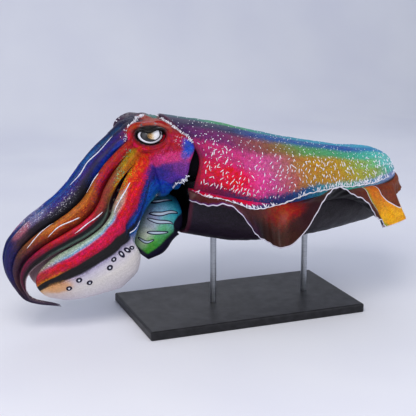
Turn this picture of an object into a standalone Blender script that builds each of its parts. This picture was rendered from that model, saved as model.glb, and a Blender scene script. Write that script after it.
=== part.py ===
"""A giant Australian cuttlefish as a still, life-size model on a plain display stand.

The animal swims with its head towards -X and its arms drooping down and curled back at the
tips. Its left side faces -Y. Sizes are in metres, +Z is up, and the stand rests on z = 0.

The mantle and the fins share one set of cross-sections along X. The head and the eight arms
share another set of cross-sections, fanned planes that follow the droop of the arms, so that
neighbouring arms never meet. Touching pieces keep a gap of GAP.
"""

import math

import bmesh
import bpy
import numpy as np
from mathutils import Matrix, Vector

GAP = 0.0003

# The place of the animal's own zero (under the mantle's front edge, at fin height) in the part.
PLACE = np.array([-0.0547, -0.0009, 0.200])

# Mantle: places along X, with the half width, and the heights of the back, fins and belly.
MANTLE_FRONT = -0.022
MANTLE_ROUNDING = 0.342
MANTLE_END = 0.407
MANTLE_STATIONS = (-0.03, 0.05, 0.14, 0.23, 0.31, 0.37, 0.43)
MANTLE_HALF_WIDTH = (0.084, 0.103, 0.110, 0.102, 0.086, 0.072, 0.058)
MANTLE_BACK = (0.162, 0.145, 0.121, 0.100, 0.085, 0.079, 0.073)
MANTLE_FINS = (0.044, 0.026, 0.010, 0.018, 0.021, 0.022, 0.026)
MANTLE_BELLY = (-0.044, -0.060, -0.070, -0.068, -0.060, -0.048, -0.018)
MANTLE_AXIS = 0.035
FRONT_RINGS = 16
TAIL_RINGS = 7
TAIL_TURN = math.radians(82)
BACK_STEPS = 7
BELLY_STEPS = 6
FULLNESS = 2.3
TAIL_FULLNESS = 2.8
TILT_RINGS = 4

# Fins: a thick root along the mantle, a thin margin, and two waves along each side. The rear
# lobe is swept back, and a narrow strip runs on round the tail.
ROOT_HALF = 0.0052
ROOT_HALF_TAIL = 0.0034
MARGIN_HALF = 0.0012
FIN_WIDTH = 0.076
FIN_FRONT_SHARE = 0.16
FIN_FRONT_PLACES = (-0.3, 2.9)
FIN_REAR_SHARE = 0.35
FIN_REAR_PLACES = (16.4, 17.7)
FIN_SWEEP = math.radians(32)
SWEEP_PLACES = (14.6, 18.6, 18, 22)
FIN_STEPS = 7
HANG_PLACES = (-0.03, 0.0, 0.03, 0.06, 0.09, 0.12, 0.15, 0.18, 0.21, 0.24, 0.27, 0.30, 0.33, 0.36,
               0.39, 0.42)
HANG = {"left": (66, 28, -8, 14, 44, 62, 20, -23, -27, -12, 16, 39, 67, 61, 70, 70),
        "right": (20, 38, 56, 42, 8, -16, -20, 4, 36, 54, 40, 12, 30, 60, 70, 70)}
FIN_TRIM = 0.008
FIN_LENGTHS = {"front": (0, 7), "middle": (7, 14), "rear": (14, 22)}

# Head and arms: section lines in the middle plane, from the back edge to the throat edge.
# Section -1 is the neck, 0 the crown where the arms part, and 1 the tip of the longest arms.
SECTIONS = (-1, -0.75, -0.5, -0.25, 0, 0.08, 0.15, 0.2, 0.26, 0.32, 0.4, 0.48, 0.62, 0.72, 0.8,
            0.88, 0.95, 1)
BACK_EDGE_X = (-0.031, -0.050, -0.072, -0.094, -0.116, -0.138, -0.158, -0.1715, -0.187, -0.200,
               -0.220, -0.242, -0.281, -0.306, -0.311, -0.298, -0.269, -0.217)
BACK_EDGE_Z = (0.150, 0.153, 0.153, 0.148, 0.138, 0.122, 0.104, 0.090, 0.071, 0.055,
               0.036, 0.020, -0.009, -0.041, -0.074, -0.112, -0.144, -0.158)
THROAT_EDGE_X = (-0.013, -0.026, -0.036, -0.045, -0.055, -0.067, -0.077, -0.082, -0.067, -0.075,
                 -0.110, -0.144, -0.184, -0.207, -0.221, -0.226, -0.226, -0.227)
THROAT_EDGE_Z = (0.014, 0.018, 0.021, 0.021, 0.014, -0.012, -0.044, -0.074, -0.098, -0.120,
                 -0.137, -0.144, -0.149, -0.148, -0.143, -0.138, -0.128, -0.118)
SECTION_HALF_WIDTH = (0.074, 0.079, 0.082, 0.078, 0.068, 0.066, 0.065, 0.065, 0.065, 0.065,
                      0.064, 0.061, 0.052, 0.043, 0.035, 0.028, 0.021, 0.014)

HEAD_RINGS = 9
HEAD_FULLNESS = 2.5
ARM_NAMES = ("dorsal", "upper", "lower", "ventral")
SECTOR_EDGES = (0, 34, 53, 70, 180)
SECTOR_STEPS = (4, 3, 3, 8)
ARM_END = {"dorsal": 1.0, "upper": 0.935, "lower": 0.875, "ventral": 0.84}
ARM_LENGTHS = {"base": (0.0, 0.36), "middle": (0.36, 0.68), "tip": (0.68, 1.0)}
ARM_TRIM = 0.0016
ARM_STEP = {"base": 0.06, "middle": 0.06, "tip": 0.045}
ARM_POINTS = (12, 12, 12, 18)
ARM_CORNER = 0.72
ARM_INNER = 0.45
ARM_INNER_TIP = 0.22
ARM_GAP = 0.0018
GROOVE = 0.10
GROOVE_WIDTH = 5.0
THROAT_DENT = ((-0.5, 0.0), (-0.2, 0.02), (0.0, 0.07), (0.12, 0.40), (0.26, 0.52), (0.32, 0.22),
               (0.40, 0.0))
THROAT_DENT_WIDTH = 0.58

# Suckers: two rows on the inner face of each arm.
SUCKER_PAIRS = 11
SUCKER_SPAN = (0.05, 0.95)
SUCKER_CLEAR = 0.018
SUCKER_RADIUS = 0.0036
SUCKER_HEIGHT = 0.0042
SUCKER_SUNK = 0.004
SUCKER_SIDES = 6
SUCKER_ROW = 0.42
SUCKER_ROOM = 0.7

# Eyes.
EYE = np.array([-0.072, -0.051, 0.133])
EYE_RADIUS = 0.0248
EYE_LOOK = np.array([-0.20, -0.93, 0.30])
MOUND = 0.016
MOUND_RADIUS = 0.038
LID_RADIUS = 0.0229
LID_WIDE, LID_HIGH = 1.06, 0.86
LID_STEPS, LID_SIDES = 20, 8
LID_THICK = 0.0040
HOOD_THICK = 0.0030
LID_FORWARD = 0.0075
HOOD_FORWARD = 0.0035

# Funnel: its centre line in the middle plane, with its half width and half height.
FUNNEL_X = (-0.009, -0.030, -0.046, -0.061, -0.077)
FUNNEL_Z = (-0.016, -0.017, -0.034, -0.056, -0.075)
FUNNEL_HALF_WIDTH = (0.031, 0.035, 0.034, 0.029, 0.023)
FUNNEL_HALF_HEIGHT = (0.025, 0.034, 0.034, 0.028, 0.0195)
FUNNEL_RINGS = 9
FUNNEL_SIDES = 18
FUNNEL_WALL = 0.004
FUNNEL_DEPTH = 0.016

# Stand.
BASE_SIZE = (0.40, 0.22, 0.016)
BASE_CENTRE_X = 0.053
BASE_BEVEL = 0.003
ROD_RADIUS = 0.0055
ROD_PLACES = {"front": 0.06, "rear": 0.24}
ROD_SIDES = 20

COLOURS = {
    "mantle": (0.62, 0.16, 0.22, 1), "head": (0.55, 0.06, 0.07, 1), "fin": (0.24, 0.08, 0.05, 1),
    "arm": (0.50, 0.10, 0.10, 1), "funnel": (0.45, 0.75, 0.66, 1), "eye": (0.80, 0.76, 0.66, 1),
    "stand": (0.10, 0.10, 0.11, 1), "rod": (0.55, 0.56, 0.58, 1),
}


def through(places, values, at):
    """Reads a smooth curve through the values at the places (cubic Hermite, central slopes)."""
    x, y = np.asarray(places, float), np.asarray(values, float)
    slope = np.gradient(y, x)
    i = int(np.clip(np.searchsorted(x, at) - 1, 0, len(x) - 2))
    step = x[i + 1] - x[i]
    u = (at - x[i]) / step
    return ((1 + 2 * u) * (1 - u) ** 2 * y[i] + u * (1 - u) ** 2 * step * slope[i]
            + u * u * (3 - 2 * u) * y[i + 1] + u * u * (u - 1) * step * slope[i + 1])


def ease(u):
    u = min(max(u, 0.0), 1.0)
    return u * u * (3 - 2 * u)


def climb(place, low, high):
    """0 below low, 1 above high, smooth in between."""
    return ease((place - low) / (high - low))


def unit(v):
    v = np.asarray(v, float)
    return v / np.linalg.norm(v)


def new_material(name, roughness, metallic=0.0):
    material = bpy.data.materials.new(name)
    material.use_nodes = True
    shader = material.node_tree.nodes["Principled BSDF"]
    shader.inputs["Base Color"].default_value = COLOURS[name]
    shader.inputs["Roughness"].default_value = roughness
    shader.inputs["Metallic"].default_value = metallic
    return material


def object_from(name, points, faces, collection, material=None):
    mesh = bpy.data.meshes.new(name)
    mesh.from_pydata([tuple(p) for p in points], [], faces)
    obj = bpy.data.objects.new(name, mesh)
    collection.objects.link(obj)
    if material:
        mesh.materials.append(material)
    return obj


def loft(name, rings, collection, material=None, start=None, end=None, alike=False):
    """Closes a skin of triangles over rings of equal length, each end capped by a fan or a tip.

    With alike, the second half of each ring is the back of a thin sheet, whose diagonals
    follow those of the front.
    """
    count = len(rings[0])
    points = [p for ring in rings for p in ring]
    faces = []
    for k in range(len(rings) - 1):
        for j in range(count):
            a, b = k * count + j, k * count + (j + 1) % count
            c, d = b + count, a + count
            if alike and j >= count // 2:
                faces += [(a, b, d), (b, c, d)]
            else:
                faces += [(a, b, c), (a, c, d)]
    for ring, tip, first in ((rings[0], start, 0), (rings[-1], end, (len(rings) - 1) * count)):
        points.append(np.mean(ring, axis=0) if tip is None else tip)
        centre = len(points) - 1
        for j in range(count):
            pair = (first + j, first + (j + 1) % count)
            faces.append((*pair[::-1], centre) if first == 0 else (*pair, centre))
    obj = object_from(name, points, faces, collection, material)
    face_out(obj)
    return obj


def face_out(obj):
    mesh = bmesh.new()
    mesh.from_mesh(obj.data)
    bmesh.ops.recalc_face_normals(mesh, faces=mesh.faces)
    if mesh.calc_volume(signed=True) < 0:
        bmesh.ops.reverse_faces(mesh, faces=mesh.faces)
    mesh.to_mesh(obj.data)
    mesh.free()


def smooth_shaded(obj, angle=40):
    obj.data.shade_smooth()
    obj.data.set_sharp_from_angle(angle=math.radians(angle))


def apply_boolean(obj, operation, collection):
    """Joins or cuts obj with the whole collection, keeps the largest closed surface."""
    modifier = obj.modifiers.new(operation.lower(), "BOOLEAN")
    modifier.operation = operation
    modifier.operand_type = "COLLECTION"
    modifier.collection = collection
    modifier.solver = "MANIFOLD"
    graph = bpy.context.evaluated_depsgraph_get()
    joined = bpy.data.meshes.new_from_object(obj.evaluated_get(graph))
    obj.modifiers.clear()
    obj.data = joined
    for piece in list(collection.objects):
        bpy.data.objects.remove(piece)
    bpy.data.collections.remove(collection)
    keep_largest(obj)


def keep_largest(obj):
    mesh = bmesh.new()
    mesh.from_mesh(obj.data)
    bmesh.ops.triangulate(mesh, faces=mesh.faces)
    left = set(mesh.verts)
    groups = []
    while left:
        group, edge = set(), [left.pop()]
        while edge:
            vertex = edge.pop()
            group.add(vertex)
            for link in vertex.link_edges:
                other = link.other_vert(vertex)
                if other in left:
                    left.discard(other)
                    edge.append(other)
        groups.append(group)
    largest = max(groups, key=len)
    bmesh.ops.delete(mesh, geom=[v for v in mesh.verts if v not in largest], context="VERTS")
    mesh.to_mesh(obj.data)
    mesh.free()


def new_collection(name):
    collection = bpy.data.collections.new(name)
    bpy.context.scene.collection.children.link(collection)
    return collection


def mantle_places():
    """The X place of each mantle section: even ones, then ones that close round the tail."""
    even = list(np.linspace(MANTLE_FRONT, MANTLE_ROUNDING, FRONT_RINGS))
    turns = np.linspace(0, TAIL_TURN, TAIL_RINGS + 1)[1:]
    return even + [MANTLE_ROUNDING + (MANTLE_END - MANTLE_ROUNDING) * math.sin(a) for a in turns]


def tail_share(x):
    """1 along the mantle, then down to 0 at its rounded end."""
    u = max(0.0, (x - MANTLE_ROUNDING) / (MANTLE_END - MANTLE_ROUNDING))
    return max(0.0, 1 - u ** TAIL_FULLNESS) ** (1 / TAIL_FULLNESS)


def mantle_sizes(x):
    """Half width, back, fin and belly heights, and the root band's half height, at x."""
    share = tail_share(x)
    half = through(MANTLE_STATIONS, MANTLE_HALF_WIDTH, x) * share
    back, fins, belly = (through(MANTLE_STATIONS, v, x)
                         for v in (MANTLE_BACK, MANTLE_FINS, MANTLE_BELLY))
    back, fins, belly = (MANTLE_AXIS + (v - MANTLE_AXIS) * share for v in (back, fins, belly))
    band = ROOT_HALF + (ROOT_HALF_TAIL - ROOT_HALF) * ease((x - 0.1) / (MANTLE_END - 0.1))
    return half, back, fins, belly, band


def quarter(half, start, end, steps):
    """Points of a full quarter arc in (y, z), from (0, start) to (half, end), both included."""
    points = []
    for k in range(steps + 1):
        angle = 0.5 * math.pi * k / steps
        points.append((half * math.sin(angle) ** (2 / FULLNESS),
                       end + (start - end) * abs(math.cos(angle)) ** (2 / FULLNESS)))
    return points


def front_face(z):
    """X of the mantle's flat front at height z, a gap behind the plane of the neck."""
    lean = (BACK_EDGE_X[0] - THROAT_EDGE_X[0]) / (BACK_EDGE_Z[0] - THROAT_EDGE_Z[0])
    return THROAT_EDGE_X[0] + lean * (z - THROAT_EDGE_Z[0]) + GAP * math.hypot(1, lean)


def mantle_ring(index, x):
    """One mantle section, from the middle of the back down the far side and up the near side."""
    half, back, fins, belly, band = mantle_sizes(x)
    right = quarter(half, back, fins + band, BACK_STEPS)
    right += quarter(half, belly, fins - band, BELLY_STEPS)[::-1]
    left = [(-y, z) for y, z in right[1:-1]][::-1]
    tilt = max(0.0, 1 - index / TILT_RINGS)
    return [PLACE + (x + tilt * (front_face(z) - MANTLE_FRONT), y, z) for y, z in right + left]


def make_mantle(collection, material):
    rings = [mantle_ring(k, x) for k, x in enumerate(mantle_places())]
    tip = PLACE + (MANTLE_END, 0, MANTLE_AXIS)
    obj = loft("mantle", rings, collection, material, end=tip)
    smooth_shaded(obj, 60)


def fin_ring(rings, place, side):
    """One fin section on the mantle's root band; place counts mantle sections, and may be between two.

    The centre line leaves the band level, then bends by the hang of the wave there.
    """
    k = min(int(place), len(rings) - 2)
    share = place - k
    upper_index = BACK_STEPS if side > 0 else -BACK_STEPS
    lower_index = BACK_STEPS + 1 if side > 0 else -BACK_STEPS - 1
    upper, lower = (rings[k][i] * (1 - share) + rings[k + 1][i] * share
                    for i in (upper_index, lower_index))
    before, after = (rings[i][upper_index] for i in (max(0, round(place) - 1),
                                                     min(len(rings) - 1, round(place) + 1)))
    run = unit((after - before) * (1, 1, 0))
    out = np.array([-run[1], run[0], 0.0]) * side
    out = out if out[1] * side > 0 or out[0] > 0 else -out
    sweep = FIN_SWEEP * climb(place, *SWEEP_PLACES[:2]) * (1 - climb(place, *SWEEP_PLACES[2:])) * -side
    out = np.array([out[0] * math.cos(sweep) - out[1] * math.sin(sweep),
                    out[0] * math.sin(sweep) + out[1] * math.cos(sweep), 0.0])
    root = (upper + lower) / 2
    half = np.linalg.norm(upper - lower) / 2
    word = "right" if side > 0 else "left"
    hang = math.radians(through(HANG_PLACES, HANG[word], root[0] - PLACE[0]))
    width = FIN_WIDTH * (FIN_FRONT_SHARE + (1 - FIN_FRONT_SHARE) * climb(place, *FIN_FRONT_PLACES))
    width *= 1 - (1 - FIN_REAR_SHARE) * climb(place, *FIN_REAR_PLACES)
    front, back = [], []
    centre = root + out * GAP
    for j in range(FIN_STEPS + 1):
        q = j / FIN_STEPS
        slope = -hang * (1.15 * ease(q / 0.25) - 0.25 * q * q)
        across = out * math.cos(slope) + np.array([0, 0, math.sin(slope)])
        thick = MARGIN_HALF + (half - MARGIN_HALF) * (1 - q) ** 1.6
        normal = -out * math.sin(slope) + np.array([0, 0, math.cos(slope)])
        front.append(centre + normal * thick)
        back.append(centre - normal * thick)
        centre = centre + across * width / FIN_STEPS
    return front + back[::-1]


def make_fins(collection, material):
    rings = [mantle_ring(k, x) for k, x in enumerate(mantle_places())]
    for side, word in ((-1, "left"), (1, "right")):
        for length, (first, last) in FIN_LENGTHS.items():
            places = [float(k) for k in range(first, last + 1)]
            places[0] += FIN_TRIM
            places[-1] -= FIN_TRIM
            sections = [fin_ring(rings, place, side) for place in places]
            obj = loft(f"fin_{word}_{length}", sections, collection, material, alike=True)
            smooth_shaded(obj, 60)


def section(t):
    """Centre, half height vector (towards the back edge) and half width of section t."""
    back = np.array([through(SECTIONS, BACK_EDGE_X, t), 0, through(SECTIONS, BACK_EDGE_Z, t)])
    throat = np.array([through(SECTIONS, THROAT_EDGE_X, t), 0, through(SECTIONS, THROAT_EDGE_Z, t)])
    return (PLACE + (back + throat) / 2, (back - throat) / 2,
            through(SECTIONS, SECTION_HALF_WIDTH, t))


def throat_dent(t, angle):
    """How far the outline is pushed in under the throat, where the funnel lies."""
    depth = float(np.interp(t, *zip(*THROAT_DENT)))
    return depth * math.exp(-(((math.pi - abs(angle)) / THROAT_DENT_WIDTH) ** 2))


def section_point(t, angle, share, fullness=2.0):
    """A point of section t: angle 0 at the back edge, share 1 on the outline."""
    centre, rise, half = section(t)
    s, c = math.sin(angle), math.cos(angle)
    y = math.copysign(abs(s) ** (2 / fullness), s)
    z = math.copysign(abs(c) ** (2 / fullness), c)
    reach = share * (1 - throat_dent(t, angle))
    return centre + (np.array([0, half * y, 0]) + rise * z) * reach


def eye_place(side):
    return PLACE + EYE * (1, -side, 1), unit(EYE_LOOK * (1, -side, 1))


def with_mounds(point):
    """The point moved out where the head swells round each eye."""
    for side in (-1, 1):
        centre, look = eye_place(side)
        away = point - centre
        aside = np.linalg.norm(away - look * (away @ look))
        if away @ look > -1.5 * MOUND_RADIUS:
            lift = unit(look + (0, 0, 0.45))
            point = point + lift * MOUND * math.exp(-((aside / MOUND_RADIUS) ** 2))
    return point


def sector_angles():
    """Angles round the far half of a section, with an even share in each arm's sector."""
    angles = []
    for first, last, steps in zip(SECTOR_EDGES, SECTOR_EDGES[1:], SECTOR_STEPS):
        angles += [first + (last - first) * k / steps for k in range(steps)]
    return [math.radians(a) for a in angles]


def groove(angle):
    """1 at the line between two arms, 0 over the middle of an arm."""
    degrees = abs(math.degrees(angle))
    return max(math.exp(-(((degrees - edge) / GROOVE_WIDTH) ** 2)) for edge in SECTOR_EDGES)


def head_ring(t):
    angles = sector_angles()
    angles = angles + [math.pi] + [-a for a in angles[:0:-1]]
    cut = GROOVE * ease((t + 0.45) / 0.45)
    fullness = HEAD_FULLNESS + (2.0 - HEAD_FULLNESS) * ease(t + 1)
    ring = [section_point(t, a, 1 - cut * groove(a), fullness) for a in angles]
    return [with_mounds(p) if -0.95 < t < -0.02 else p for p in ring]


def make_lid(name, side, collection):
    """A ring of skin round the eye, thicker above, where it hoods the eyeball."""
    centre, look = eye_place(side)
    along = unit(np.cross(look, (0, 0, 1)))
    up = np.cross(along, look)
    up = up if up[2] > 0 else -up
    rings = []
    for k in range(LID_STEPS):
        angle = 2 * math.pi * k / LID_STEPS
        spread = along * math.cos(angle) * LID_WIDE + up * math.sin(angle) * LID_HIGH
        hood = max(0.0, math.sin(angle)) ** 1.5
        thick = LID_THICK + HOOD_THICK * hood
        middle = centre + spread * LID_RADIUS + look * (LID_FORWARD + HOOD_FORWARD * hood)
        outward = unit(spread)
        rings.append([middle + outward * thick * math.cos(b) + look * thick * math.sin(b)
                      for b in np.linspace(0, 2 * math.pi, LID_SIDES, endpoint=False)])
    count = len(rings[0])
    points = [p for ring in rings for p in ring]
    faces = []
    for k in range(len(rings)):
        for j in range(count):
            a, b = k * count + j, k * count + (j + 1) % count
            c = ((k + 1) % len(rings)) * count + (j + 1) % count
            d = ((k + 1) % len(rings)) * count + j
            faces += [(a, b, c), (a, c, d)]
    obj = object_from(name, points, faces, collection)
    face_out(obj)


def eye_ball(name, side, radius, collection, material=None):
    centre, look = eye_place(side)
    mesh = bpy.data.meshes.new(name)
    ball = bmesh.new()
    turn = Vector(look).to_track_quat("Z", "Y").to_matrix().to_4x4()
    bmesh.ops.create_uvsphere(ball, u_segments=16, v_segments=10, radius=radius,
                              matrix=Matrix.Translation(Vector(centre)) @ turn)
    ball.to_mesh(mesh)
    ball.free()
    obj = bpy.data.objects.new(name, mesh)
    collection.objects.link(obj)
    if material:
        mesh.materials.append(material)
    return obj


def make_head(collection, head_material, eye_material):
    rings = [head_ring(t) for t in np.linspace(-1, 0, HEAD_RINGS)]
    head = loft("head", rings, collection, head_material)
    lids = new_collection("lids")
    for side, word in ((-1, "left"), (1, "right")):
        make_lid(f"lid_{word}", side, lids)
    apply_boolean(head, "UNION", lids)
    sockets = new_collection("sockets")
    for side, word in ((-1, "left"), (1, "right")):
        eye_ball(f"socket_{word}", side, EYE_RADIUS + GAP, sockets)
    apply_boolean(head, "DIFFERENCE", sockets)
    smooth_shaded(head, 50)
    for side, word in ((-1, "left"), (1, "right")):
        eye = eye_ball(f"eye_{word}", side, EYE_RADIUS, collection, eye_material)
        smooth_shaded(eye)


def arm_taper(share):
    return max(0.2, (1 - share ** 8) ** 0.6)


def arm_ring(arm, side, t):
    """One arm section: a rounded wedge between its sector's edges and the hollow inside."""
    first, last = (math.radians(SECTOR_EDGES[arm + k]) for k in (0, 1))
    half_width = section(t)[2]
    spare = 0.5 * ARM_GAP / (0.7 * half_width)
    taper = arm_taper(t / ARM_END[ARM_NAMES[arm]])
    middle, reach = (first + last) / 2, ((last - first) / 2 - spare) * taper
    depth = (1 - arm_inner(t)) / 2 * taper
    ring = []
    for k in range(ARM_POINTS[arm]):
        turn = 2 * math.pi * k / ARM_POINTS[arm]
        across = math.copysign(abs(math.cos(turn)) ** ARM_CORNER, math.cos(turn))
        out = math.copysign(abs(math.sin(turn)) ** ARM_CORNER, math.sin(turn))
        ring.append(section_point(t, side * (middle + reach * across), 1 - depth + depth * out))
    return ring


def arm_inner(t):
    """The share of the outline where an arm's inner face lies: the hollow closes towards the tips."""
    return ARM_INNER + (ARM_INNER_TIP - ARM_INNER) * ease((t - 0.7) / 0.22)


def arm_stations(first, last, end, step):
    """Shared stations between two places of an arm that ends at end, both places included."""
    count = max(2, round((last - first) / step))
    stations = list(np.linspace(first, last, count + 1))
    stations[0] += ARM_TRIM
    if last < end:
        stations[-1] -= ARM_TRIM
    return stations


def make_sucker(name, place, aim, radius, collection):
    """A short cup: a tapered round wall, sunk into the arm, with a dished face."""
    cup = bmesh.new()
    turn = Vector(aim).to_track_quat("Z", "Y").to_matrix().to_4x4()
    height = SUCKER_SUNK + SUCKER_HEIGHT * radius / SUCKER_RADIUS
    shift = Matrix.Translation(Vector(place + aim * (height / 2 - SUCKER_SUNK)))
    bmesh.ops.create_cone(cup, segments=SUCKER_SIDES, cap_ends=True, radius1=0.62 * radius,
                          radius2=radius, depth=height, matrix=shift @ turn)
    mesh = bpy.data.meshes.new(name)
    cup.to_mesh(mesh)
    cup.free()
    obj = bpy.data.objects.new(name, mesh)
    collection.objects.link(obj)


def add_suckers(obj, arm, side, first, last):
    """Joins the suckers whose places lie well inside this length of the arm."""
    end = ARM_END[ARM_NAMES[arm]]
    low, high = (math.radians(SECTOR_EDGES[arm + k]) for k in (0, 1))
    cups = new_collection("cups")
    for pair, t in enumerate(end * np.linspace(*SUCKER_SPAN, SUCKER_PAIRS)):
        if not first + SUCKER_CLEAR < t < last - SUCKER_CLEAR:
            continue
        taper = arm_taper(t / end)
        middle, reach = (low + high) / 2, (high - low) / 2 * taper
        depth = (1 - arm_inner(t)) * taper
        centre, rise, half_width = section(t)
        size = min(half_width, math.hypot(*rise))
        room = SUCKER_ROOM * (1 - SUCKER_ROW) * reach * (1 - depth) * size
        for row in (-1, 1):
            angle = side * (middle + reach * SUCKER_ROW * row)
            place = section_point(t, angle, 1 - depth * 0.97)
            aim = unit(centre - place)
            radius = min(room, SUCKER_RADIUS * (0.45 + 0.55 * taper))
            make_sucker(f"cup_{pair}_{row}", place, aim, radius, cups)
    if len(cups.objects):
        apply_boolean(obj, "UNION", cups)
    else:
        bpy.data.collections.remove(cups)


def make_arms(collection, material):
    for side, word in ((-1, "left"), (1, "right")):
        for arm, arm_name in enumerate(ARM_NAMES):
            end = ARM_END[arm_name]
            for length, (share_first, share_last) in ARM_LENGTHS.items():
                first, last = share_first * end, share_last * end
                stations = arm_stations(first, last, end, ARM_STEP[length])
                rings = [arm_ring(arm, side, t) for t in stations]
                obj = loft(f"arm_{word}_{arm_name}_{length}", rings, collection, material)
                add_suckers(obj, arm, side, first, last)
                smooth_shaded(obj, 50)


def make_funnel(collection, material):
    """A soft tube under the throat, with an open mouth that points down and forwards."""
    shares = np.linspace(0, 1, len(FUNNEL_X))
    read = lambda values, u: float(through(shares, values, u))
    outer, inner = [], []
    for u in np.linspace(0, 1, FUNNEL_RINGS):
        middle = np.array([read(FUNNEL_X, u), 0, read(FUNNEL_Z, u)])
        low, high = max(0.0, u - 0.02), min(1.0, u + 0.02)
        run = unit((read(FUNNEL_X, high) - read(FUNNEL_X, low), 0,
                    read(FUNNEL_Z, high) - read(FUNNEL_Z, low)))
        if u == 0:
            middle[0] = front_face(middle[2]) - 2 * GAP
            run = unit((-1, 0, front_face(1.0) - front_face(0.0)))
        up = np.array([run[2], 0, -run[0]])
        sizes = read(FUNNEL_HALF_WIDTH, u), read(FUNNEL_HALF_HEIGHT, u)
        outer.append(tube_ring(middle, up, *sizes))
        mouth = (middle, up, run, sizes)
    middle, up, run, (width, height) = mouth
    for depth in (0.0, 0.5, 1.0):
        wall = FUNNEL_WALL * (1 + 0.6 * depth) * (0.55 if depth == 0 else 1)
        inner.append(tube_ring(middle - run * FUNNEL_DEPTH * depth + run * 0.0015 * (depth == 0),
                               up, width - wall, height - wall))
    obj = loft("funnel", outer + inner, collection, material)
    smooth_shaded(obj, 50)


def tube_ring(middle, up, width, height):
    return [PLACE + middle + np.array([0, width * math.sin(a), 0]) + up * height * math.cos(a)
            for a in np.linspace(0, 2 * math.pi, FUNNEL_SIDES, endpoint=False)]


def belly_height(x, away=ROD_RADIUS):
    """The lowest height of the belly near the middle line, within a rod's reach of x."""
    return min(mantle_sizes(x + d)[3] for d in (-away, 0, away)) + PLACE[2]


def make_stand(collection, base_material, rod_material):
    bpy.ops.mesh.primitive_cube_add(size=1)
    base = bpy.context.object
    base.name = "stand_base"
    base.data.transform(Matrix.Diagonal((*BASE_SIZE, 1)))
    base.data.transform(Matrix.Translation((BASE_CENTRE_X, 0, BASE_SIZE[2] / 2)))
    bevel = base.modifiers.new("edges", "BEVEL")
    bevel.width, bevel.segments = BASE_BEVEL, 2
    base.data.materials.append(base_material)
    move_to(base, collection)
    for word, x in ROD_PLACES.items():
        bottom = BASE_SIZE[2] + GAP
        top = belly_height(x) - GAP
        bpy.ops.mesh.primitive_cylinder_add(vertices=ROD_SIDES, radius=ROD_RADIUS, depth=top - bottom)
        rod = bpy.context.object
        rod.name = f"stand_rod_{word}"
        rod.data.transform(Matrix.Translation((PLACE[0] + x, PLACE[1], (top + bottom) / 2)))
        rod.data.materials.append(rod_material)
        smooth_shaded(rod)
        move_to(rod, collection)


def move_to(obj, collection):
    for old in obj.users_collection:
        old.objects.unlink(obj)
    collection.objects.link(obj)


def main():
    for obj in list(bpy.data.objects):
        bpy.data.objects.remove(obj)
    cuttlefish = new_collection("cuttlefish")
    skin = {name: new_material(name, 0.45) for name in ("mantle", "head", "fin", "arm", "funnel")}
    make_mantle(cuttlefish, skin["mantle"])
    make_fins(cuttlefish, skin["fin"])
    make_head(cuttlefish, skin["head"], new_material("eye", 0.15))
    make_arms(cuttlefish, skin["arm"])
    make_funnel(cuttlefish, skin["funnel"])
    make_stand(cuttlefish, new_material("stand", 0.4), new_material("rod", 0.3, 1.0))


main()
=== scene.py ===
# %% [markdown]
# # A giant Australian cuttlefish, life-size, on a display stand
# The solids of the model are loaded first and stay where they are. Every piece made below is a
# finer skin for them: one skin for the head and the eight arms, one for the mantle, one for each
# fin and one for the funnel. Lids, eyes, suckers and skin papillae are pieces of their own.
# Each shape is a function of two parameters, worked out on whole arrays.

# %% Load the frame
import math
from itertools import product

import bmesh
import bpy
import numpy as np
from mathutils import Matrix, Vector


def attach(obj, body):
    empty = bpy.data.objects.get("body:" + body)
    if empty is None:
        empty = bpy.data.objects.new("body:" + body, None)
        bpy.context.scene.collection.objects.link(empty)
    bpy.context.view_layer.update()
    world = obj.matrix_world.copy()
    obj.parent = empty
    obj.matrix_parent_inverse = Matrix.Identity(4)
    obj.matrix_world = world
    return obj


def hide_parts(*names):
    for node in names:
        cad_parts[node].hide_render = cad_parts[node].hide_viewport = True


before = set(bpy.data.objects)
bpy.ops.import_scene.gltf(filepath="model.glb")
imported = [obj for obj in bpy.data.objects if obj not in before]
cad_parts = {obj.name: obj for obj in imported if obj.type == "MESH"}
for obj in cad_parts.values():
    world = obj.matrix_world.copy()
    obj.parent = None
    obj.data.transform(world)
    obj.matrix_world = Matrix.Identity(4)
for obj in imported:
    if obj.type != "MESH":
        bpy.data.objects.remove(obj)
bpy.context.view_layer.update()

# %% [markdown]
# ## Camera
# The animal is seen from its left, a little from the front and a little from above. A long lens
# keeps the perspective as flat as in the picture.

# %% Place the camera
CAMERA_TURN = math.radians(-21)
CAMERA_TILT = math.radians(14)
CAMERA_DISTANCE = 1.75
CAMERA_AIM = Vector((-0.0047, -0.0009, 0.190))
CAMERA_LENS = 86.3


def put_object(name, data, at, towards=None):
    """Puts new data into the scene, turned to look at a spot if one is given."""
    thing = bpy.data.objects.new(name, data)
    thing.location = at
    if towards:
        thing.rotation_euler = (towards - thing.location).to_track_quat("-Z", "Y").to_euler()
    bpy.context.scene.collection.objects.link(thing)
    return thing


CAMERA_BACK = Vector((math.sin(CAMERA_TURN) * math.cos(CAMERA_TILT),
                      -math.cos(CAMERA_TURN) * math.cos(CAMERA_TILT), math.sin(CAMERA_TILT)))
camera = put_object("camera", bpy.data.cameras.new("camera"),
                    CAMERA_AIM + CAMERA_BACK * CAMERA_DISTANCE, CAMERA_AIM)
camera.data.lens = CAMERA_LENS
bpy.context.scene.camera = camera

# %% [markdown]
# ## Helpers for shapes
# A living body has no straight edges, so its sizes are given at a few places and a smooth curve is
# read through them. Small unevenness comes from random numbers on a lattice, blended smoothly.
# A modeller could sculpt it by hand. Numbers on a lattice give the same skin on every run.

# %% Curves and noise
X_AXIS, Y_AXIS, Z_AXIS = np.eye(3)
SIDES = {-1: "left", 1: "right"}
RANDOM = np.random.default_rng(11)
LATTICE = RANDOM.uniform(-1, 1, 4096)


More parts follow.
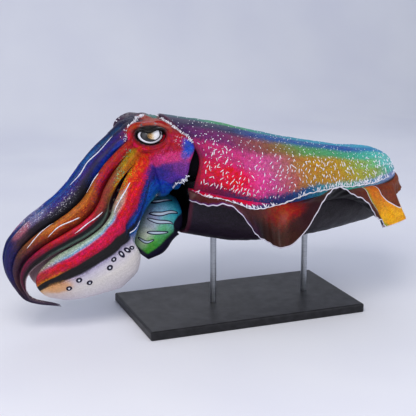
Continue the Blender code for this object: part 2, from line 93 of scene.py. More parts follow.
def through(places, values, at):
    """A cubic Hermite curve through the values at the places, with central slopes."""
    x, y, at = np.asarray(places, float), np.asarray(values, float), np.asarray(at, float)
    slope = np.gradient(y, x, axis=0)
    i = np.clip(np.searchsorted(x, at) - 1, 0, len(x) - 2)
    step = x[i + 1] - x[i]
    u = (at - x[i]) / step
    shape = u.shape + (1,) * (y.ndim - 1)
    u, step = u.reshape(shape), step.reshape(shape)
    return ((1 + 2 * u) * (1 - u) ** 2 * y[i] + u * (1 - u) ** 2 * step * slope[i]
            + u * u * (3 - 2 * u) * y[i + 1] + u * u * (u - 1) * step * slope[i + 1])


def ease(u):
    """3u² - 2u³ between 0 and 1, and flat outside."""
    u = np.clip(u, 0, 1)
    return u * u * (3 - 2 * u)


def climb(x, low, high):
    """0 below low, 1 above high, eased in between (falling where low is above high)."""
    return ease((x - low) / (high - low))


def hill(x, centre, width):
    """The bell curve exp(-((x - centre) / width)²)."""
    return np.exp(-(((x - centre) / width) ** 2))


def hills(x, rows):
    """The sum of bell curves, each with its height, centre and width."""
    return sum(height * hill(x, centre, width) for height, centre, width in rows)


def waves(x, rows):
    """The sum of sine waves, each with its height, its rate and its start."""
    return sum(height * np.sin(rate * x + start) for height, rate, start in rows)


def half_circle(side, count):
    """Column numbers of a full ring down one side, from the back to the underside."""
    return (side * np.arange(count // 2 + 1)) % count


def along_path(path, at):
    """Each coordinate of a path of places, read at shares from 0 to 1 of the path."""
    return [through(np.linspace(0, 1, len(path)), v, at) for v in zip(*path)]


def circle(count):
    """Evenly spaced angles right round."""
    return np.linspace(0, 2 * np.pi, count, endpoint=False)


def signed_circle(count):
    """The same angles, from 0 up to pi and on from -pi."""
    return np.where(circle(count) > np.pi, circle(count) - 2 * np.pi, circle(count))


def oval_wave(angle, power):
    """Sine and cosine with their sizes raised to a power, which makes an oval squarer below 1."""
    return [np.sign(v) * np.abs(v) ** power for v in (np.sin(angle), np.cos(angle))]


def unit(v):
    """Each vector divided by its length."""
    v = np.asarray(v, float)
    return v / np.maximum(np.linalg.norm(v, axis=-1, keepdims=True), 1e-12)


def heading(points):
    """The direction of a line of points at each of them."""
    return unit(np.gradient(points, axis=0))


def noise(points, size, seed):
    """Smooth noise from -1 to 1: the eight lattice values round each point, blended by ease."""
    place = np.asarray(points) / size + 31.7 * seed
    cell = np.floor(place).astype(np.int64)
    part = ease(place - cell)
    total = 0.0
    for corner in product((0, 1), repeat=3):
        key = (cell + corner) * (73856093, 19349663, 83492791)
        share = np.where(np.array(corner) == 1, part, 1 - part).prod(-1)
        total = total + share * LATTICE[(key[..., 0] ^ key[..., 1] ^ key[..., 2]) % len(LATTICE)]
    return total


def uneven(points, layers):
    """Noise in layers, each with its height, size and seed."""
    return sum(height * noise(points, size, seed) for height, size, seed in layers)


# %% [markdown]
# A grid of points becomes a skin when each cell is joined into a four-sided face. The same few
# helpers close its ends, put it into a mesh and store what the colours will need: how far along
# and how far around the body each point lies.

# %% Meshes from grids
def numbered(shape):
    """The point numbers of a grid."""
    return np.arange(math.prod(shape)).reshape(shape)


def grid_quads(index, closed=True):
    """The quads of a grid of point numbers; closed joins the last column to the first."""
    rolled = np.roll(index, -1, axis=1) if closed else index[:, 1:]
    base = index if closed else index[:, :-1]
    return np.stack([base[:-1], rolled[:-1], rolled[1:], base[1:]], -1).reshape(-1, 4)


def fan(ring, centre):
    """Triangles from each edge of a closed ring of point numbers to one centre point."""
    return np.stack([ring, np.roll(ring, -1), np.full(len(ring), centre)], -1)


def closed_tube(rings, start=None, end=None):
    """Points and faces of rings (rows, columns, 3) closed round and capped at both ends."""
    ends = [rings[0].mean(0) if start is None else start, rings[-1].mean(0) if end is None else end]
    index = numbered(rings.shape[:2])
    tris = np.concatenate([fan(index[0], index.size), fan(index[-1], index.size + 1)])
    return np.concatenate([rings.reshape(-1, 3), ends]), grid_quads(index), tris


def closed_ring(rings):
    """Points and faces of profiles (rows, columns, 3) whose last row meets the first."""
    index = numbered(rings.shape[:2])
    quads = grid_quads(np.concatenate([index, index[:1]]))
    return rings.reshape(-1, 3), quads, np.zeros((0, 3), int)


def on_points(shape, values, tips):
    """Each value spread over the rows and columns of a grid, then its values at the end points."""
    return [np.append(np.broadcast_to(v, shape).ravel(), tip) for v, tip in zip(values, tips)]


def put_piece(name, points, quads, tris, material, slot, nodes=(), **values):
    """Makes a smooth-shaded mesh with its faces turned outwards, and its values on the points."""
    mesh = bpy.data.meshes.new(name)
    mesh.from_pydata(np.asarray(points).tolist(), [], [*np.asarray(quads).tolist(),
                                                       *np.asarray(tris).tolist()])
    work = bmesh.new()
    work.from_mesh(mesh)
    bmesh.ops.recalc_face_normals(work, faces=work.faces)
    if work.calc_volume(signed=True) < 0:
        bmesh.ops.reverse_faces(work, faces=work.faces)
    work.to_mesh(mesh)
    work.free()
    mesh.shade_smooth()
    for key, value in values.items():
        layer = mesh.attributes.new(key, "FLOAT", "POINT")
        layer.data.foreach_set("value", np.asarray(value, np.float32).ravel())
    mesh.materials.append(material)
    piece = put_object(name, mesh, (0, 0, 0))
    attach(piece, "root")
    if nodes:
        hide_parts(*nodes)
    print(f"{name}: {len(points)} points, {2 * len(quads) + len(tris)} triangles")


def scatter(form, centres, a, b, c):
    """Copies of a small form (points, quads, tris): each point is centre + x·a + y·b + z·c."""
    points, quads, tris = form
    placed = centres[:, None] + sum(points[None, :, k:k + 1] * axis[:, None]
                                    for k, axis in enumerate((a, b, c)))
    step = np.arange(len(centres))[:, None, None] * len(points)
    return placed.reshape(-1, 3), (quads + step).reshape(-1, 4), (tris + step).reshape(-1, 3)


def turned(profile, sides, top):
    """A small form turned round z: rings of (radius, height), closed at the given height."""
    turn = circle(sides)
    rows = [np.stack([r * np.cos(turn), r * np.sin(turn), 0 * turn + z], -1) for r, z in profile]
    return closed_tube(np.array(rows), end=Z_AXIS * top)


def dome(rings, sides, sink=0.6):
    """A small closed dome: rings from its foot, sunk below zero, up to its top at height 1."""
    rise = np.linspace(0, 0.5 * np.pi, rings + 1)[:-1]
    return turned([(1, -sink), *zip(np.cos(rise), np.sin(rise))], sides, 1.0)


# %% [markdown]
# Raised lines, papillae and suckers have to sit on skins that are finished already. A skin is a
# grid, so any spot of it is found by its two parameters, with its outward direction beside it.

# %% Places on a skin
RIDGE_SIDES, LINE_POINTS = 8, 48


def read_grid(skin, row, column):
    """Points of a grid at row and column values, linear between its rows and its columns."""
    grid, rows, columns = skin
    i = np.clip(np.searchsorted(rows, row) - 1, 0, len(rows) - 2)
    share = np.clip((row - rows[i]) / (rows[i + 1] - rows[i]), 0, 1)[:, None]

    def in_row(i):
        values = columns[i]
        j = np.clip((values < column[:, None]).sum(1) - 1, 0, values.shape[1] - 2)
        n = np.arange(len(j))
        part = np.clip((column - values[n, j]) / (values[n, j + 1] - values[n, j]), 0, 1)[:, None]
        return grid[i, j] * (1 - part) + grid[i, j + 1] * part

    return in_row(i) * (1 - share) + in_row(i + 1) * share


def frame_on(skin, row, column, step=0.006):
    """Point, direction along the rows, direction across them and outward direction."""
    point = read_grid(skin, row, column)
    run = unit(read_grid(skin, row + step, column) - read_grid(skin, row - step, column))
    across = unit(read_grid(skin, row, column + step) - read_grid(skin, row, column - step))
    middle = np.stack([np.interp(row, skin[1], v) for v in skin[0].mean(1).T], -1)
    out = unit(np.cross(run, across))
    out = out * np.where(((point - middle) * out).sum(-1, keepdims=True) < 0, -1, 1)
    return point, run, unit(np.cross(out, run)), out


def ridge(point, out, radius, seed):
    """A closed tube half sunk in a skin along a line of points; noise swells and thins it."""
    run = heading(point)
    aside = unit(np.cross(run, out))
    s = np.linspace(-1, 1, len(point))
    size = radius * np.sqrt(np.clip(1.001 - s ** 4, 0, 1)) * (1 + 0.4 * noise(point, 0.005, seed))
    turn = circle(RIDGE_SIDES)[None, :, None]
    return closed_tube(point[:, None] + size[:, None, None] * (aside[:, None] * np.cos(turn)
                                                              + 0.8 * out[:, None] * np.sin(turn)))


def path_on(skin, path):
    """Points and outward directions along a smooth path of (row, column) places."""
    point, _, _, out = frame_on(skin, *along_path(path, np.linspace(0, 1, LINE_POINTS)))
    return point, out


def join(parts):
    """One set of points, quads and triangles made of many."""
    points, quads, tris = zip(*parts)
    start = np.cumsum([0, *map(len, points[:-1])])
    return (np.concatenate(points),
            *[np.concatenate([f + k for f, k in zip(faces, start)]) for faces in (quads, tris)])


# %% [markdown]
# ## Helpers for colours
# A painter first lays a wash that changes along the body, then works softer patches, lines and
# specks into it. The nodes below do the same: ramps for the washes, soft patches with ragged
# edges, and specks. Effects that several skins share are node groups that give out only masks
# and heights, so that each skin mixes them in its own measure.

# %% Shader helpers
class Shade:
    """An output of a shader node; + - * and / add the maths nodes that they stand for."""

    def __init__(self, tree, socket):
        self.tree, self.socket = tree, socket

    def __add__(self, other):
        return maths("ADD", self, other)

    def __sub__(self, other):
        return maths("SUBTRACT", self, other)

    def __rsub__(self, other):
        return maths("SUBTRACT", other, self)

    def __mul__(self, other):
        return maths("MULTIPLY", self, other)

    def __truediv__(self, other):
        return maths("DIVIDE", self, other)

    __radd__, __rmul__ = __add__, __mul__


def add(tree, kind, inputs=None, output=0, **settings):
    """One output of a new node, whose inputs are linked to shades or given their values."""
    node = tree.nodes.new("ShaderNode" + kind)
    for key, value in settings.items():
        setattr(node, key, value)
    for key, value in (inputs or {}).items():
        if isinstance(value, Shade):
            tree.links.new(value.socket, node.inputs[key])
        else:
            node.inputs[key].default_value = value
    return Shade(tree, node.outputs[output])


def maths(operation, *values):
    tree = next(value.tree for value in values if isinstance(value, Shade))
    return add(tree, "Math", dict(enumerate(values)), operation=operation)


def colour(code):
    """A colour from its six hexadecimal digits, turned into linear light."""
    parts = [int(code[k:k + 2], 16) / 255 for k in (0, 2, 4)]
    return (*[p / 12.92 if p <= 0.04045 else ((p + 0.055) / 1.055) ** 2.4 for p in parts], 1.0)


def between(value, low, high):
    """0 below low, 1 above high, smooth in between (falling where low is above high)."""
    ends = {0: value, 1: low, 2: high}
    if low > high:
        ends = {0: value, 1: high, 2: low, 3: 1.0, 4: 0.0}
    return add(value.tree, "MapRange", ends, interpolation_type="SMOOTHSTEP")


def band(value, centre, half, soft):
    """1 within half of the centre, down to 0 a soft distance further out."""
    return between(maths("ABSOLUTE", value - centre), half + soft, half)


def lay(paint, mask, top):
    """The paint with the top, a shade or a colour code, laid over it where the mask is 1."""
    under, over = (colour(c) if isinstance(c, str) else c for c in (paint, top))
    return add(mask.tree, "Mix", {0: mask, 6: under, 7: over}, 2, data_type="RGBA")


def layered(paint, *layers):
    """The paint under several layers, each a mask and a top."""
    for mask, top in layers:
        paint = lay(paint, mask, top)
    return paint


def ramp(value, stops):
    """A colour ramp from a dictionary of place: colour code."""
    shade = add(value.tree, "ValToRGB", {0: value})
    marks = shade.socket.node.color_ramp.elements
    while len(marks) < len(stops):
        marks.new(0.5)
    for mark, place in zip(marks, sorted(stops)):
        mark.position = place
    for mark, place in zip(marks, sorted(stops)):
        mark.color = colour(stops[place])
    return shade


def read(tree, *names):
    """The values that a piece keeps on its points under these names."""
    return [add(tree, "Attribute", None, "Fac", attribute_name=name) for name in names]


def place_of(tree):
    return add(tree, "TexCoord", None, "Object")


def cloud(tree, scale, detail=2.0, rough=0.5, stretch=None):
    """Noise from about 0.3 to 0.7 on the object's own coordinates, scale in cycles a metre."""
    vector = place_of(tree)
    if stretch:
        vector = add(tree, "Mapping", {0: vector, 3: stretch})
    return add(tree, "TexNoise", {"Vector": vector, "Scale": scale, "Detail": detail,
                                  "Roughness": rough}, "Fac")


def new_group(name, inputs, outputs, make):
    """A shader group with named number sockets; make(tree, *inputs) gives its outputs."""
    tree = bpy.data.node_groups.new(name, "ShaderNodeTree")
    for key, value in inputs.items():
        socket = tree.interface.new_socket(key, in_out="INPUT", socket_type="NodeSocketFloat")
        socket.default_value = value
    for key in outputs:
        tree.interface.new_socket(key, in_out="OUTPUT", socket_type="NodeSocketFloat")
    start, end = tree.nodes.new("NodeGroupInput"), tree.nodes.new("NodeGroupOutput")
    made = make(tree, *[Shade(tree, start.outputs[key]) for key in inputs])
    for key, shade in zip(outputs, made):
        tree.links.new(shade.socket, end.inputs[key])
    return tree


BUMP_DEPTH = 0.0006


def new_skin(name, paint, roughness=0.5, coat=0.05, **constants):
    """A Principled material; paint(tree) gives the colour, the roughness and the bump height."""
    material = bpy.data.materials.new(name)
    material.use_nodes = True
    tree = material.node_tree
    shader = tree.nodes["Principled BSDF"]
    for key, value in {"Roughness": roughness, "Coat Weight": coat, "Coat Roughness": 0.3,
                       "Specular IOR Level": 0.2, **constants}.items():
        shader.inputs[key].default_value = value
    painted = paint(tree)
    tree.links.new(painted["colour"].socket, shader.inputs["Base Color"])
    if "roughness" in painted:
        tree.links.new(painted["roughness"].socket, shader.inputs["Roughness"])
    if "height" in painted:
        bump = add(tree, "Bump", {"Height": painted["height"], "Strength": painted["bump"],
                                  "Distance": BUMP_DEPTH}, "Normal")
        tree.links.new(bump.socket, shader.inputs["Normal"])
    return material


# %% [markdown]
# Three groups serve all the skins. A soft patch is an oval on the body's own map of along and
# around. Grain is the fine relief of wet skin with its tiny pits. Flecks are scattered small
# specks, used for turquoise, navy and white dots.

# %% Shared groups
def patch_mask(tree, along, around, middle_along, middle_around, long, wide, wobble, soft):
    """1 inside an oval, 0 outside, its rim shifted by the wobble and softened."""
    a, b = (along - middle_along) / long, (around - middle_around) / wide
    away = maths("SQRT", a * a + b * b) + wobble
    return [add(tree, "MapRange", {0: away, 1: 1.0 - soft, 2: soft + 1.0, 3: 1.0, 4: 0.0},
                interpolation_type="SMOOTHSTEP")]


def grain_layers(tree, scale):
    """Height of wet skin (soft folds, cells, fine pits), and the mottle of its pigment."""
    def layer(kind, cycles, output="Fac", **settings):
        settings.update(Vector=place_of(tree), Scale=scale * cycles)
        return add(tree, kind, settings, output)

    folds = layer("TexNoise", 180.0, Detail=3.0)
    cells = layer("TexVoronoi", 420.0, "Distance")
    fine = layer("TexNoise", 900.0, Detail=2.0)
    grains = layer("TexNoise", 430.0, Detail=2.0, Roughness=0.7)
    return folds + cells * -0.45 + fine * 0.35, grains * 0.7 + folds * 0.3


def fleck_mask(tree, scale, size, few):
    """Small uneven specks: scale is how many a metre, size their share of a cell."""
    bent = add(tree, "TexNoise", {"Vector": place_of(tree), "Scale": 700.0}, "Color")
    bent = add(tree, "VectorMath", {0: bent, 1: (0.004, 0.004, 0.004), 2: place_of(tree)},
               operation="MULTIPLY_ADD")
    away = add(tree, "TexVoronoi", {"Vector": bent, "Scale": scale}, "Distance")
    chance = add(tree, "SeparateColor", {0: Shade(tree, away.socket.node.outputs["Color"])})
    return [maths("LESS_THAN", away, size) * maths("GREATER_THAN", chance, few)]


OVAL = ("Along", "Around", "Middle along", "Middle around", "Reach along", "Reach around",
        "Wobble", "Soft")
PATCH = new_group("soft_patch", dict.fromkeys(OVAL, 1.0), ["Mask"], patch_mask)
GRAIN = new_group("skin_grain", {"Scale": 1.0}, ["Height", "Mottle"], grain_layers)
FLECKS = new_group("flecks", {"Scale": 200.0, "Size": 0.25, "Few": 0.5}, ["Mask"], fleck_mask)
SATURATION, DEPTH_OF_PAINT = 1.04, 0.86
print("groups:", PATCH.name, GRAIN.name, FLECKS.name)


def patch(*values):
    """Mask of a soft patch: place, middle, reach (each along and around), wobble and softness."""
    return add(values[0].tree, "Group", dict(zip(OVAL, values)), node_tree=PATCH)


def grain(tree, scale=1.0, output="Height"):
    return add(tree, "Group", {"Scale": scale}, output, node_tree=GRAIN)


def flecked(paint, code, mask, scale):
    """Specks of one colour over the paint, where the mask lets them."""
    specks = add(mask.tree, "Group", {"Scale": scale, "Size": 0.34, "Few": 0.45}, node_tree=FLECKS)
    return lay(paint, specks * mask, code)


def dapple(paint, amount=0.9):
    """The paint made lighter, darker and a little warmer or colder by the skin's own mottle."""
    tree = paint.tree
    return add(tree, "HueSaturation", {
        "Hue": (cloud(tree, 150) - 0.5) * 0.06 + 0.5, "Saturation": SATURATION,
        "Value": (grain(tree, 1.0, "Mottle") - 0.5) * (2 * amount) + DEPTH_OF_PAINT,
        "Color": paint})


def far_side(tree):
    """1 on the side away from -Y, where the brow gets painted dark violet shade."""
    return between(add(tree, "SeparateXYZ", {0: place_of(tree)}, 1), 0.0, 0.012)


# %% [markdown]
# ## The sections of the head and the arms
# Head and arms are one form: a set of planes fanned along the droop of the arms, from the neck
# (-1) over the crown (0), where the arms part, to their tips (1). Each plane holds a rounded
# outline. An arm is the slice of all outlines between two angles, so neighbours never cross.

# %% Sections
PLACE = np.array([-0.0547, -0.0009, 0.200])
# Where each section lies, and the x and z of its back and throat edges from PLACE.
SECTIONS = (-1, -0.75, -0.5, -0.25, 0, 0.08, 0.15, 0.2, 0.26, 0.32, 0.4, 0.48, 0.62, 0.72, 0.8,
            0.88, 0.95, 1)
BACK_EDGE_X = (-0.031, -0.050, -0.072, -0.094, -0.116, -0.138, -0.158, -0.1715, -0.187, -0.200,
               -0.220, -0.242, -0.281, -0.306, -0.311, -0.298, -0.269, -0.217)
BACK_EDGE_Z = (0.150, 0.153, 0.153, 0.148, 0.138, 0.122, 0.104, 0.090, 0.071, 0.055,
               0.036, 0.020, -0.009, -0.041, -0.074, -0.112, -0.144, -0.158)
THROAT_EDGE_X = (-0.013, -0.026, -0.036, -0.045, -0.055, -0.067, -0.077, -0.082, -0.067, -0.075,
                 -0.110, -0.144, -0.184, -0.207, -0.221, -0.226, -0.226, -0.227)
THROAT_EDGE_Z = (0.014, 0.018, 0.021, 0.021, 0.014, -0.012, -0.044, -0.074, -0.098, -0.120,
                 -0.137, -0.144, -0.149, -0.148, -0.143, -0.138, -0.128, -0.118)
SECTION_HALF_WIDTH = (0.074, 0.079, 0.082, 0.078, 0.068, 0.066, 0.065, 0.065, 0.065, 0.065,
                      0.064, 0.061, 0.052, 0.043, 0.035, 0.028, 0.021, 0.014)
HEAD_FULLNESS = 2.5
# The dent for the funnel: (place of the section, depth).
THROAT_DENT = ((-0.5, 0.0), (-0.2, 0.02), (0.0, 0.07), (0.12, 0.40), (0.26, 0.52), (0.32, 0.22),
               (0.40, 0.0))
THROAT_DENT_WIDTH = 0.58
SECTOR_EDGES = np.radians((0, 34, 53, 70, 180))
SECTOR_COLUMNS = (28, 22, 20, 56)
GROOVE, GROOVE_WIDTH = 0.10, math.radians(5)


def section_point(t, angle, share, fullness=2.0):
    """The point at centre + share · (half width · sin, half height · cos) of section t.

    Sine and cosine are raised to 2 / fullness, and the outline is dented where the funnel lies.
    """
    t, angle, share = np.broadcast_arrays(t, angle, share)
    edges = [np.stack([through(SECTIONS, x, t), 0 * t, through(SECTIONS, z, t)], -1)
             for x, z in ((BACK_EDGE_X, BACK_EDGE_Z), (THROAT_EDGE_X, THROAT_EDGE_Z))]
    s, c = oval_wave(angle, 2 / fullness)
    dent = np.interp(t, *zip(*THROAT_DENT)) * hill(np.abs(angle), np.pi, THROAT_DENT_WIDTH)
    reach = (share * (1 - dent))[..., None]
    aside = (through(SECTIONS, SECTION_HALF_WIDTH, t) * s)[..., None] * Y_AXIS
    return (PLACE + (edges[0] + edges[1]) / 2
            + reach * (aside + (edges[0] - edges[1]) / 2 * c[..., None]))


# %% [markdown]
# The eyes of a cuttlefish are large and sit in a swollen mound, with a heavy fold of skin that
# hoods them from above. The mound is a bell-shaped lift of the skin round each eye's axis.

# %% Eye mounds
EYE = np.array([-0.072, -0.051, 0.133])
EYE_RADIUS = 0.0248
EYE_LOOK = np.array([-0.20, -0.93, 0.30])
MOUND, MOUND_RADIUS, MOUND_LIFT = 0.016, 0.038, (0, 0, 0.45)


def eye_frame(side):
    """Centre of an eyeball with three directions: to the arms, up, and where it looks."""
    mirror = np.array([1, -side, 1])
    look = unit(EYE_LOOK * mirror)
    along = -side * unit(np.cross(look, (0, 0, 1)))
    up = np.cross(along, look) * -side
    return PLACE + EYE * mirror, along, up, look


def in_eye_frame(points, side):
    """How far points lie to the arms, up and ahead of an eye's centre."""
    centre, *axes = eye_frame(side)
    return [(points - centre) @ axis for axis in axes]


def with_mounds(points, weight):
    """Points lifted by the bell curve of their distance from each eye's axis."""
    for side in SIDES:
        u, v, ahead = in_eye_frame(points, side)
        near = (ahead > -1.5 * MOUND_RADIUS) * weight
        amount = MOUND * hill(np.hypot(u, v), 0, MOUND_RADIUS) * near
        points = points + amount[..., None] * unit(eye_frame(side)[3] + MOUND_LIFT)
    return points


for side in SIDES:
    print("eye", side, [np.round(v, 3).tolist() for v in eye_frame(side)])

# %% [markdown]
# ## One skin for the head and the arms
# On the animal the skin runs from the neck over the head and out along each arm without a seam.
# Separate tubes pushed together would show a joint at the crown, so the grid of the head is
# continued: its last row is cut into eight arcs, and each arc grows an inner half and becomes
# the ring of an arm. The inner halves meet round the mouth, which a small disc closes.

# %% Head rows
HEAD_ROWS = 112
# Rows inside the mantle: (distance behind the neck's edge, share of its size).
NECK_STEPS = ((0.0012, 0.985), (0.0028, 0.955), (0.0050, 0.915), (0.010, 0.88), (0.020, 0.86),
              (0.034, 0.85))
HEAD_SCOOP = 0.026
SCOOP_PLACE, SCOOP_WIDTH = math.radians(64), math.radians(27)
COLLAR = ((0.022, -0.96, 0.05),)
CORNER_CUT, CORNER_LOW, CORNER_HIGH = 0.020, math.radians(98), math.radians(138)


def ring_angles():
    """Angles right round a section, from the back edge down the right side and up the left."""
    right = np.concatenate([np.linspace(a, b, k, endpoint=False) for a, b, k in
                            zip(SECTOR_EDGES, SECTOR_EDGES[1:], SECTOR_COLUMNS)])
    return np.concatenate([right, [np.pi], -right[:0:-1]])


def groove(angle):
    """1 on the line between two arms, 0 over an arm."""
    return np.max([hill(np.abs(angle), edge, GROOVE_WIDTH) for edge in SECTOR_EDGES], axis=0)


def mound_weight(t):
    return climb(t, -1, -0.86) * climb(t, 0.16, -0.10)


def head_point(t, angle):
    """The outline with arm grooves, collar and mounds, its back scooped and its throat cut up."""
    t, angle = np.broadcast_arrays(t, angle)
    full = HEAD_FULLNESS + (2.0 - HEAD_FULLNESS) * ease(t + 1)
    share = 1 - GROOVE * climb(t, -0.45, 0) * groove(angle) + hills(t, COLLAR)
    points = with_mounds(section_point(t, angle, share, full), mound_weight(t))
    back = HEAD_SCOOP * hill(np.abs(angle), SCOOP_PLACE, SCOOP_WIDTH) * climb(t, -0.5, -1)
    cut = CORNER_CUT * climb(np.abs(angle), CORNER_LOW, CORNER_HIGH) * climb(t, -0.35, -0.95)
    return points + back[..., None] * (1, 0, 0) + cut[..., None] * (-0.25, 0, 1)


def head_rows():
    """Rows of the head from inside the mantle to the crown, with their place along and around."""
    angles = ring_angles()[None]
    t = np.linspace(-1, 0, HEAD_ROWS)[:, None]
    outer = head_point(t, angles)
    rim, middle = outer[0], outer[0].mean(0)
    neck = [middle + (rim - middle) * share + (step, 0, 0) for step, share in NECK_STEPS]
    rows = np.concatenate([np.array(neck[::-1]), outer])
    along = np.concatenate([-1 - np.array([s for s, _ in NECK_STEPS[::-1]]) * 10, t[:, 0]])
    return rows, *[np.broadcast_to(v, rows.shape[:2]) for v in (along[:, None], angles)]


# %% Arm rings
# The arms are numbered from the back (0) to the lowest (3).
ARM_END = (1.0, 0.935, 0.875, 0.84)
ARM_ROWS = 92
ARM_CROWDING = 1.3
ARM_CORNER = 0.72
ARM_INNER, ARM_INNER_TIP = 0.45, 0.22
ARM_GAP = 0.0018
ARM_STOP, MOUTH_DENT = 0.9985, 0.22
CROWN = (0.12, 0.16, 0.24, 0.34)
KEEL, KEEL_WIDTH, KEEL_HIGH = math.radians(97), math.radians(4.5), 0.045


def arm_inner(t):
    """The share of the outline where an arm's inner face lies."""
    return ARM_INNER + (ARM_INNER_TIP - ARM_INNER) * climb(t, 0.7, 0.92)


def arm_middle(arm):
    return (SECTOR_EDGES[arm] + SECTOR_EDGES[arm + 1]) / 2


def arm_sizes(arm, s):
    """Place t of share s of an arm, the body's half width there, and the arm's half angle and
    half depth, both narrowed towards its tip by (1 - s⁸) ** 0.6."""
    t = ARM_END[arm] * s
    half_width = through(SECTIONS, SECTION_HALF_WIDTH, t)
    taper = np.maximum(0.02, (1 - np.minimum(s, 1) ** 8)) ** 0.6
    span = SECTOR_EDGES[arm + 1] - SECTOR_EDGES[arm]
    reach = (span / 2 - 0.5 * ARM_GAP / (0.7 * half_width)) * taper
    return t, half_width, reach, (1 - arm_inner(t)) / 2 * taper


def arm_rings(arm, side):
    """Rings of an arm: at the crown the arc of the head with a shallow inner arc, and further out
    a rounded wedge whose corners follow cos and sin raised to ARM_CORNER."""
    first, last, columns = SECTOR_EDGES[arm], SECTOR_EDGES[arm + 1], SECTOR_COLUMNS[arm]
    outer, inner = np.linspace(0, 1, columns + 1), np.linspace(0, 1, columns + 1)[1:-1]
    crown_angle = np.concatenate([first + (last - first) * outer, last + (first - last) * inner])
    crown_share = np.concatenate([1 - GROOVE * groove(first + (last - first) * outer),
                                  1 - GROOVE - MOUTH_DENT * np.sin(np.pi * inner) ** 0.6])
    turn = np.concatenate([0.75 * np.pi - 0.5 * np.pi * outer, 0.25 * np.pi - 1.5 * np.pi * inner])
    out, across = oval_wave(turn, ARM_CORNER)
    u = np.linspace(0, 1, ARM_ROWS + 1)[:, None]
    s = ARM_STOP * (1 - (1 - u) ** ARM_CROWDING)
    t, _, reach, depth = arm_sizes(arm, s)
    w = ease(t / CROWN[arm])
    angle = (1 - w) * crown_angle + w * (arm_middle(arm) + reach * across)
    share = (1 - w) * crown_share + w * (1 - depth + depth * out)
    keel = hill(angle, KEEL, KEEL_WIDTH) * (out > 0) * climb(t, 0, 0.12) * climb(t, 0.74, 0.64)
    points = section_point(t, side * angle, share + KEEL_HIGH * keel)
    points = with_mounds(points, mound_weight(t))
    inside = np.broadcast_to(climb(out, 0.2, -0.4) * w, angle.shape)
    return points, np.broadcast_to(t, angle.shape), angle, inside


# %% Join head, arms and mouth into one closed skin
MOUTH_RINGS = 5


def head_and_arms():
    """Points, quads, triangles and the values along, around and inside of the whole skin."""
    rows, along, around = head_rows()
    columns = rows.shape[1]
    points = [rows.reshape(-1, 3)]
    values = [[v.ravel()] for v in (along, np.abs(around), 0 * along)]
    index = numbered(rows.shape[:2])
    quads, tris, total = [grid_quads(index)], [], index.size

    def append(new, *new_values):
        nonlocal total
        points.append(new.reshape(-1, 3))
        for store, value in zip(values, new_values):
            store.append(np.broadcast_to(value, new.shape[:-1]).ravel())
        numbers = total + numbered(new.shape[:-1])
        total += numbers.size
        return numbers

    start = append(rows[:1].mean(1), along[0, 0], 0.0, 0.0)
    tris.append(fan(index[0], start[0]))
    crown = index[-1]
    offsets = np.concatenate([[0], np.cumsum(SECTOR_COLUMNS)])
    loops = {}
    for side, arm in product((1, -1), range(4)):
        rings, t, angle, inside = arm_rings(arm, side)
        outer = (side * np.arange(offsets[arm], offsets[arm + 1] + 1)) % columns
        shared = crown[outer]
        new_inner = append(rings[:1, len(outer):], 0.0, angle[:1, len(outer):], 0.6)
        numbers = append(rings[1:], t[1:], angle[1:], inside[1:])
        base = np.append(shared, new_inner[0])[None]
        quads.append(grid_quads(np.concatenate([base, numbers])))
        tip = section_point(ARM_END[arm], side * arm_middle(arm), 1.0)
        tip = append(tip[None], ARM_END[arm], arm_middle(arm), 0.0)
        tris.append(fan(numbers[-1], tip[0]))
        loops[side, arm] = np.concatenate([shared[:1], new_inner[0][::-1], shared[-1:]])
    right = np.concatenate([loops[1, arm][:-1] for arm in range(4)])
    left = np.concatenate([loops[-1, arm][::-1][:-1] for arm in (3, 2, 1, 0)])
    loop = np.concatenate([right, left])
    ring = np.concatenate(points)[loop]
    centre = section_point(0.05, 0.0, 0.0)
    shrink = np.linspace(0, 1, MOUTH_RINGS + 1)[1:-1, None, None]
    disc = append(ring + (centre - ring) * shrink, 0.0, np.pi / 2, 1.0)
    quads.append(grid_quads(np.concatenate([loop[None], disc])))
    middle = append(centre[None], 0.0, np.pi / 2, 1.0)
    tris.append(fan(disc[-1], middle[0]))
    return (np.concatenate(points), np.concatenate(quads), np.concatenate(tris),
            [np.concatenate(v) for v in values])


# %% [markdown]
# The plain form gets what the living skin has: an uneven surface, soft wrinkles that run along
# the arms, a crease that parts the cheek from the arms, and a crescent fold under each eye. Under
# the lids the skin sinks away, so that only lid and eyeball show there.

# %% Relief of the head skin
LID_WIDE, LID_ABOVE, LID_BELOW = 0.0228, 0.0110, 0.0160
ARM_RELIEF, CHEEK_DEPTH, LID_SINK, EYE_ZONE = 0.45, 0.0025, 0.012, 0.06
HEAD_BUMPS, HEAD_FOLDS = ((0.0009, 0.016, 1), (0.00045, 0.006, 2)), ((0.0006, 0.009, 3),)
FOLD_STRETCH = (0.25, 0.2, 0.3)
# Height, radius and width of the fold under the eye and of the crease outside it.
EYE_FOLDS = ((0.0022, 0.0315, 0.0030), (0.0016, 0.0370, 0.0028))


def lid_high(rise):
    """Half height of the opening towards a direction whose sine is rise."""
    return (LID_ABOVE + LID_BELOW) / 2 + (LID_ABOVE - LID_BELOW) / 2 * rise


def lid_place(u, v):
    """A place beside the eye's axis, as shares of the opening's half width and half height."""
    return u / LID_WIDE, v / lid_high(v / np.maximum(np.hypot(u, v), 1e-9))


